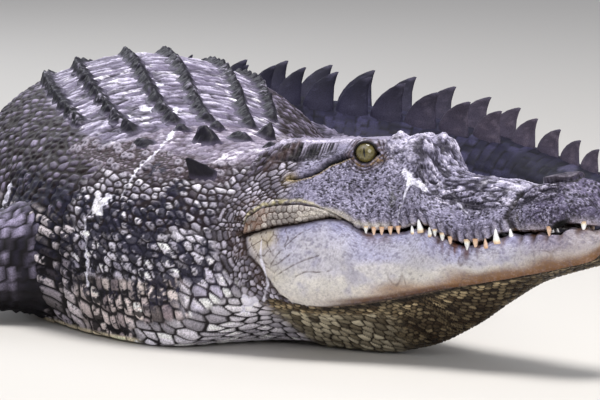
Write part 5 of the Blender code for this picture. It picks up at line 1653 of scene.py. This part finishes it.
def animal():
    claws = Heap()
    paths = [leg(*row, claws) for row in LEGS]
    claws.build("claws", look_of("claw"), "limb_hide")

    crest = crest_stations()
    cuts = [HEAD_END] + [SCUTE_FIRST + SCUTE_PITCH * (k - 0.5) for k in BODY_CUTS]
    cuts += [(crest[k] + crest[k - 1]) / 2 for k in TAIL_CUTS] + [TAIL_END - 0.002]
    for (name, step, right, left), start, end in zip(LENGTHS, cuts[:-1], cuts[1:]):
        last = name == "tail_tip"
        coat = Coat(Sheet(spaced(start - OVERLAP, end + OVERLAP * (not last), step), spaced(0, 8, 8 / right),
                          spaced(0, 8, 8 / left)))
        for part in (body_scales, neck_top, back_skin, tail_scales, white_streaks):
            part(coat)
        coat.height += legs_near(coat.sheet, paths)
        coat.build(name + "_skin", "hide_body", name, "hide", cap=-1 if last else None)

    eye_s = -EYE_AT[0]
    close = (0.75, 2.1)      # v of the eye and the skull's edge
    sheets = (("snout", "hide_head", "skull_and_snout", "hide", 1, spaced(-SNOUT_TIP, -0.235, 0.0016),
               spaced(0, 4, 0.022), spaced(0, 4, 0.036)),
              ("skull", "hide_head", "skull_and_snout", "hide", 1,
               spaced(-0.2365, HEAD_END + OVERLAP, 0.0016, (eye_s - 0.033, eye_s + 0.033, 0.0011)),
               spaced(0, 4, 0.0145, (*close, 0.0145 * 0.72)), spaced(0, 4, 0.034, (*close, 0.024))),
              ("jaw", "hide_jaw", "lower_jaw", "jaw_hide", -1, spaced(-SNOUT_TIP, HEAD_END + OVERLAP, 0.002),
               spaced(4, 8, 0.023, (4.0, 4.4, 0.014)), spaced(4, 8, 0.045)))
    for name, look, node, slot, jaw, s, right, left in sheets:
        coat = Coat(Sheet(s, right, left, (0.85, 0.5, 0), jaw))
        body_scales(coat)
        head_skin(coat, jaw > 0)
        white_streaks(coat)
        coat.build(name + "_skin", look, node, slot, cap=None if name == "skull" else 0)

    heap = Heap()
    for n, (s, offset, side) in enumerate(keel_rows()):
        keel(heap, s, offset, side, SCUTE_LENGTH, SCUTE_WIDTH, SCUTE_HEIGHT, n)
    heap.build("back_scutes", look_of("horn"), "hide")
    heap = Heap()
    for n, (s, offset, length, width, right, left) in enumerate(NECK_SHIELDS):
        blunt = 0.1 if n == 1 else 0.9
        keel(heap, s, offset, 1, length, width, right, 501 + n * 2, blunt)
        keel(heap, s, offset, -1, length, width, left, 500 + n * 2, blunt)
    heap.build("neck_shields", look_of("horn"), "hide")
    heap, tops = Heap(), []
    for n, s in enumerate(crest):
        double = s < CREST_MERGE
        for side in ((1, -1) if double else (1,)):
            fin(heap, tops, s, float(CREST_SPREAD(s)) if double else 0.0, side,
                float(CREST_PITCH(s)) * CREST_SHARE, float(CREST_HEIGHT(s)), n * 2 + (side > 0))
    heap.faces += tops
    heap.build("tail_crest", look_of("horn"), "hide")
    teeth()
    eyes()


def white_streaks(coat):
    """White streaks on the right side."""
    q = coat.sheet
    for line, width, strength in STREAKS:
        line3 = on_skin(line)
        here = np.all((q.p > line3.min(0) - 0.03) & (q.p < line3.max(0) + 0.03), -1) & (q.side > 0)
        if here.any():
            d, at = near(q.p[here], line3)
            rag = noise(q.p[here], 0.011, 601, 3)
            width = np.interp(at, np.linspace(0, 1, len(width)), width)
            share = np.zeros(q.s.shape)
            share[here] = smooth((width * (1 + 0.9 * rag) - d) / 0.0022) * strength * smooth(rag * 1.2 + 0.95)
            coat.paint(WHITE, share)


STREAKS = (
    (((0.641, 0.2), (0.655, 0.3), (0.667, 0.36)), (0.012, 0.016, 0.008), 0.8),
    (((0.457, 0.98), (0.449, 0.9), (0.441, 0.84)), (0.01, 0.012, 0.006), 0.8),
    (((0.48, 0.55), (0.465, 0.45), (0.447, 0.42)), (0.012, 0.012, 0.008), 0.8),
    (((0.457, 0.1), (0.39, 0.2), (0.341, 0.25), (0.301, 0.54), (0.269, 0.84), (0.247, 1.17), (0.229, 1.5),
      (0.221, 2.01),
      (0.213, 2.61)), (0.007, 0.006, 0.005, 0.004, 0.0035, 0.003), 0.9),
    (((0.233, 2.75), (0.236, 3.11)), (0.012, 0.009), 0.95),
    (((0.247, 2.83), (0.245, 3.05)), (0.01, 0.009), 0.95),
    (((0.25, 3.1), (0.255, 3.3), (0.253, 3.48), (0.247, 3.83), (0.245, 4.06), (0.243, 4.3), (0.247, 4.77)),
     (0.005, 0.0025, 0.004, 0.0022, 0.003, 0.005, 0.004), 0.9),
    (((-0.229, 1.77), (-0.241, 1.95), (-0.265, 1.84)), (0.006, 0.01, 0.005), 0.9),
    (((-0.241, 1.95), (-0.237, 2.4), (-0.232, 2.9), (-0.232, 3.4), (-0.237, 3.66)),
     (0.005, 0.0022, 0.0022, 0.0018), 0.85),
    (((0.527, 3.06), (0.513, 3.38), (0.521, 3.62), (0.523, 3.85)), (0.007, 0.012, 0.008, 0.003), 0.85),
    (((-0.001, 4.26), (-0.001, 4.88), (-0.005, 5.3), (-0.007, 5.64), (0.013, 6.16)),
     (0.002, 0.003, 0.002, 0.004), 0.75),
    (((0.033, 6.03), (0.049, 6.35)), (0.014, 0.008), 0.75),
    (((-0.317, 1.76), (-0.335, 2.0), (-0.351, 2.26)), (0.002, 0.002), 0.5),
)


# Lights: name, place, what it faces, size, power, colour
LIGHTS = (("key", (0.6, -1.2, 4.2), (0.1, -0.4, 0.2), 2.0, 200, (1.0, 0.98, 0.96)),
          ("front", (1.4, -4.5, 1.6), (0.2, -0.8, 0.2), 2.4, 56, (1.0, 0.99, 0.98)),
          ("rear", (-1.5, 3.5, 2.8), (0.0, 0.0, 0.2), 2.5, 60, (0.92, 0.95, 1.0)))
SKY, SKY_STRENGTH = (0.86, 0.88, 0.95, 1), 0.42
FLOOR_TONE, FLOOR_ROUGHNESS, FLOOR_HALF, FLOOR_Z = (0.62, 0.6, 0.57, 1), 0.9, 30, -0.0005
# Camera: it looks down by the tilt, and the skull's rear edge lies right of its axis and above it
CAMERA_TILT, CAMERA_AWAY, CAMERA_RIGHT, CAMERA_UP = np.radians(7.4), 10, 0.0278, 0.0964
CAMERA_LENS, CAMERA_SENSOR, CAMERA_CLIP = 367.2, 36, 100


def linked(name, data):
    """A new object of the scene."""
    thing = bpy.data.objects.new(name, data)
    bpy.context.scene.collection.objects.link(thing)
    return thing


def stage():
    """Plain pale floor, soft light and the camera."""
    mesh = bpy.data.meshes.new("floor")
    corners = [(x * FLOOR_HALF, y * FLOOR_HALF, FLOOR_Z) for x, y in ((-1, -1), (1, -1), (1, 1), (-1, 1))]
    mesh.from_pydata(corners, [], [(0, 1, 2, 3)])
    floor = linked("floor", mesh)
    m = bpy.data.materials.new("floor")
    m.use_nodes = True
    m.node_tree.nodes["Principled BSDF"].inputs["Base Color"].default_value = FLOOR_TONE
    m.node_tree.nodes["Principled BSDF"].inputs["Roughness"].default_value = FLOOR_ROUGHNESS
    mesh.materials.append(m)

    world = bpy.data.worlds.new("studio")
    bpy.context.scene.world = world
    world.use_nodes = True
    world.node_tree.nodes["Background"].inputs["Color"].default_value = SKY
    world.node_tree.nodes["Background"].inputs["Strength"].default_value = SKY_STRENGTH

    for name, at, aim, size, power, colour in LIGHTS:
        light = bpy.data.lights.new(name, "AREA")
        light.shape, light.size, light.energy, light.color = "DISK", size, power, colour
        lamp = linked(name, light)
        lamp.location = at
        lamp.rotation_euler = (Vector(aim) - Vector(at)).to_track_quat("-Z", "Y").to_euler()

    look = Vector((0, np.cos(CAMERA_TILT), -np.sin(CAMERA_TILT)))
    up, right = Vector((0, np.sin(CAMERA_TILT), np.cos(CAMERA_TILT))), Vector((1, 0, 0))
    skull = Vector(place(np.array(0.0), 0.0, 0.0))
    data = bpy.data.cameras.new("camera")
    data.lens, data.sensor_width, data.clip_end = CAMERA_LENS, CAMERA_SENSOR, CAMERA_CLIP
    camera = linked("camera", data)
    camera.location = skull - look * CAMERA_AWAY - right * CAMERA_RIGHT - up * CAMERA_UP
    camera.rotation_euler = look.to_track_quat("-Z", "Y").to_euler()
    bpy.context.scene.camera = camera
    bpy.context.scene.view_settings.view_transform = "Standard"


materials()
animal()
stage()
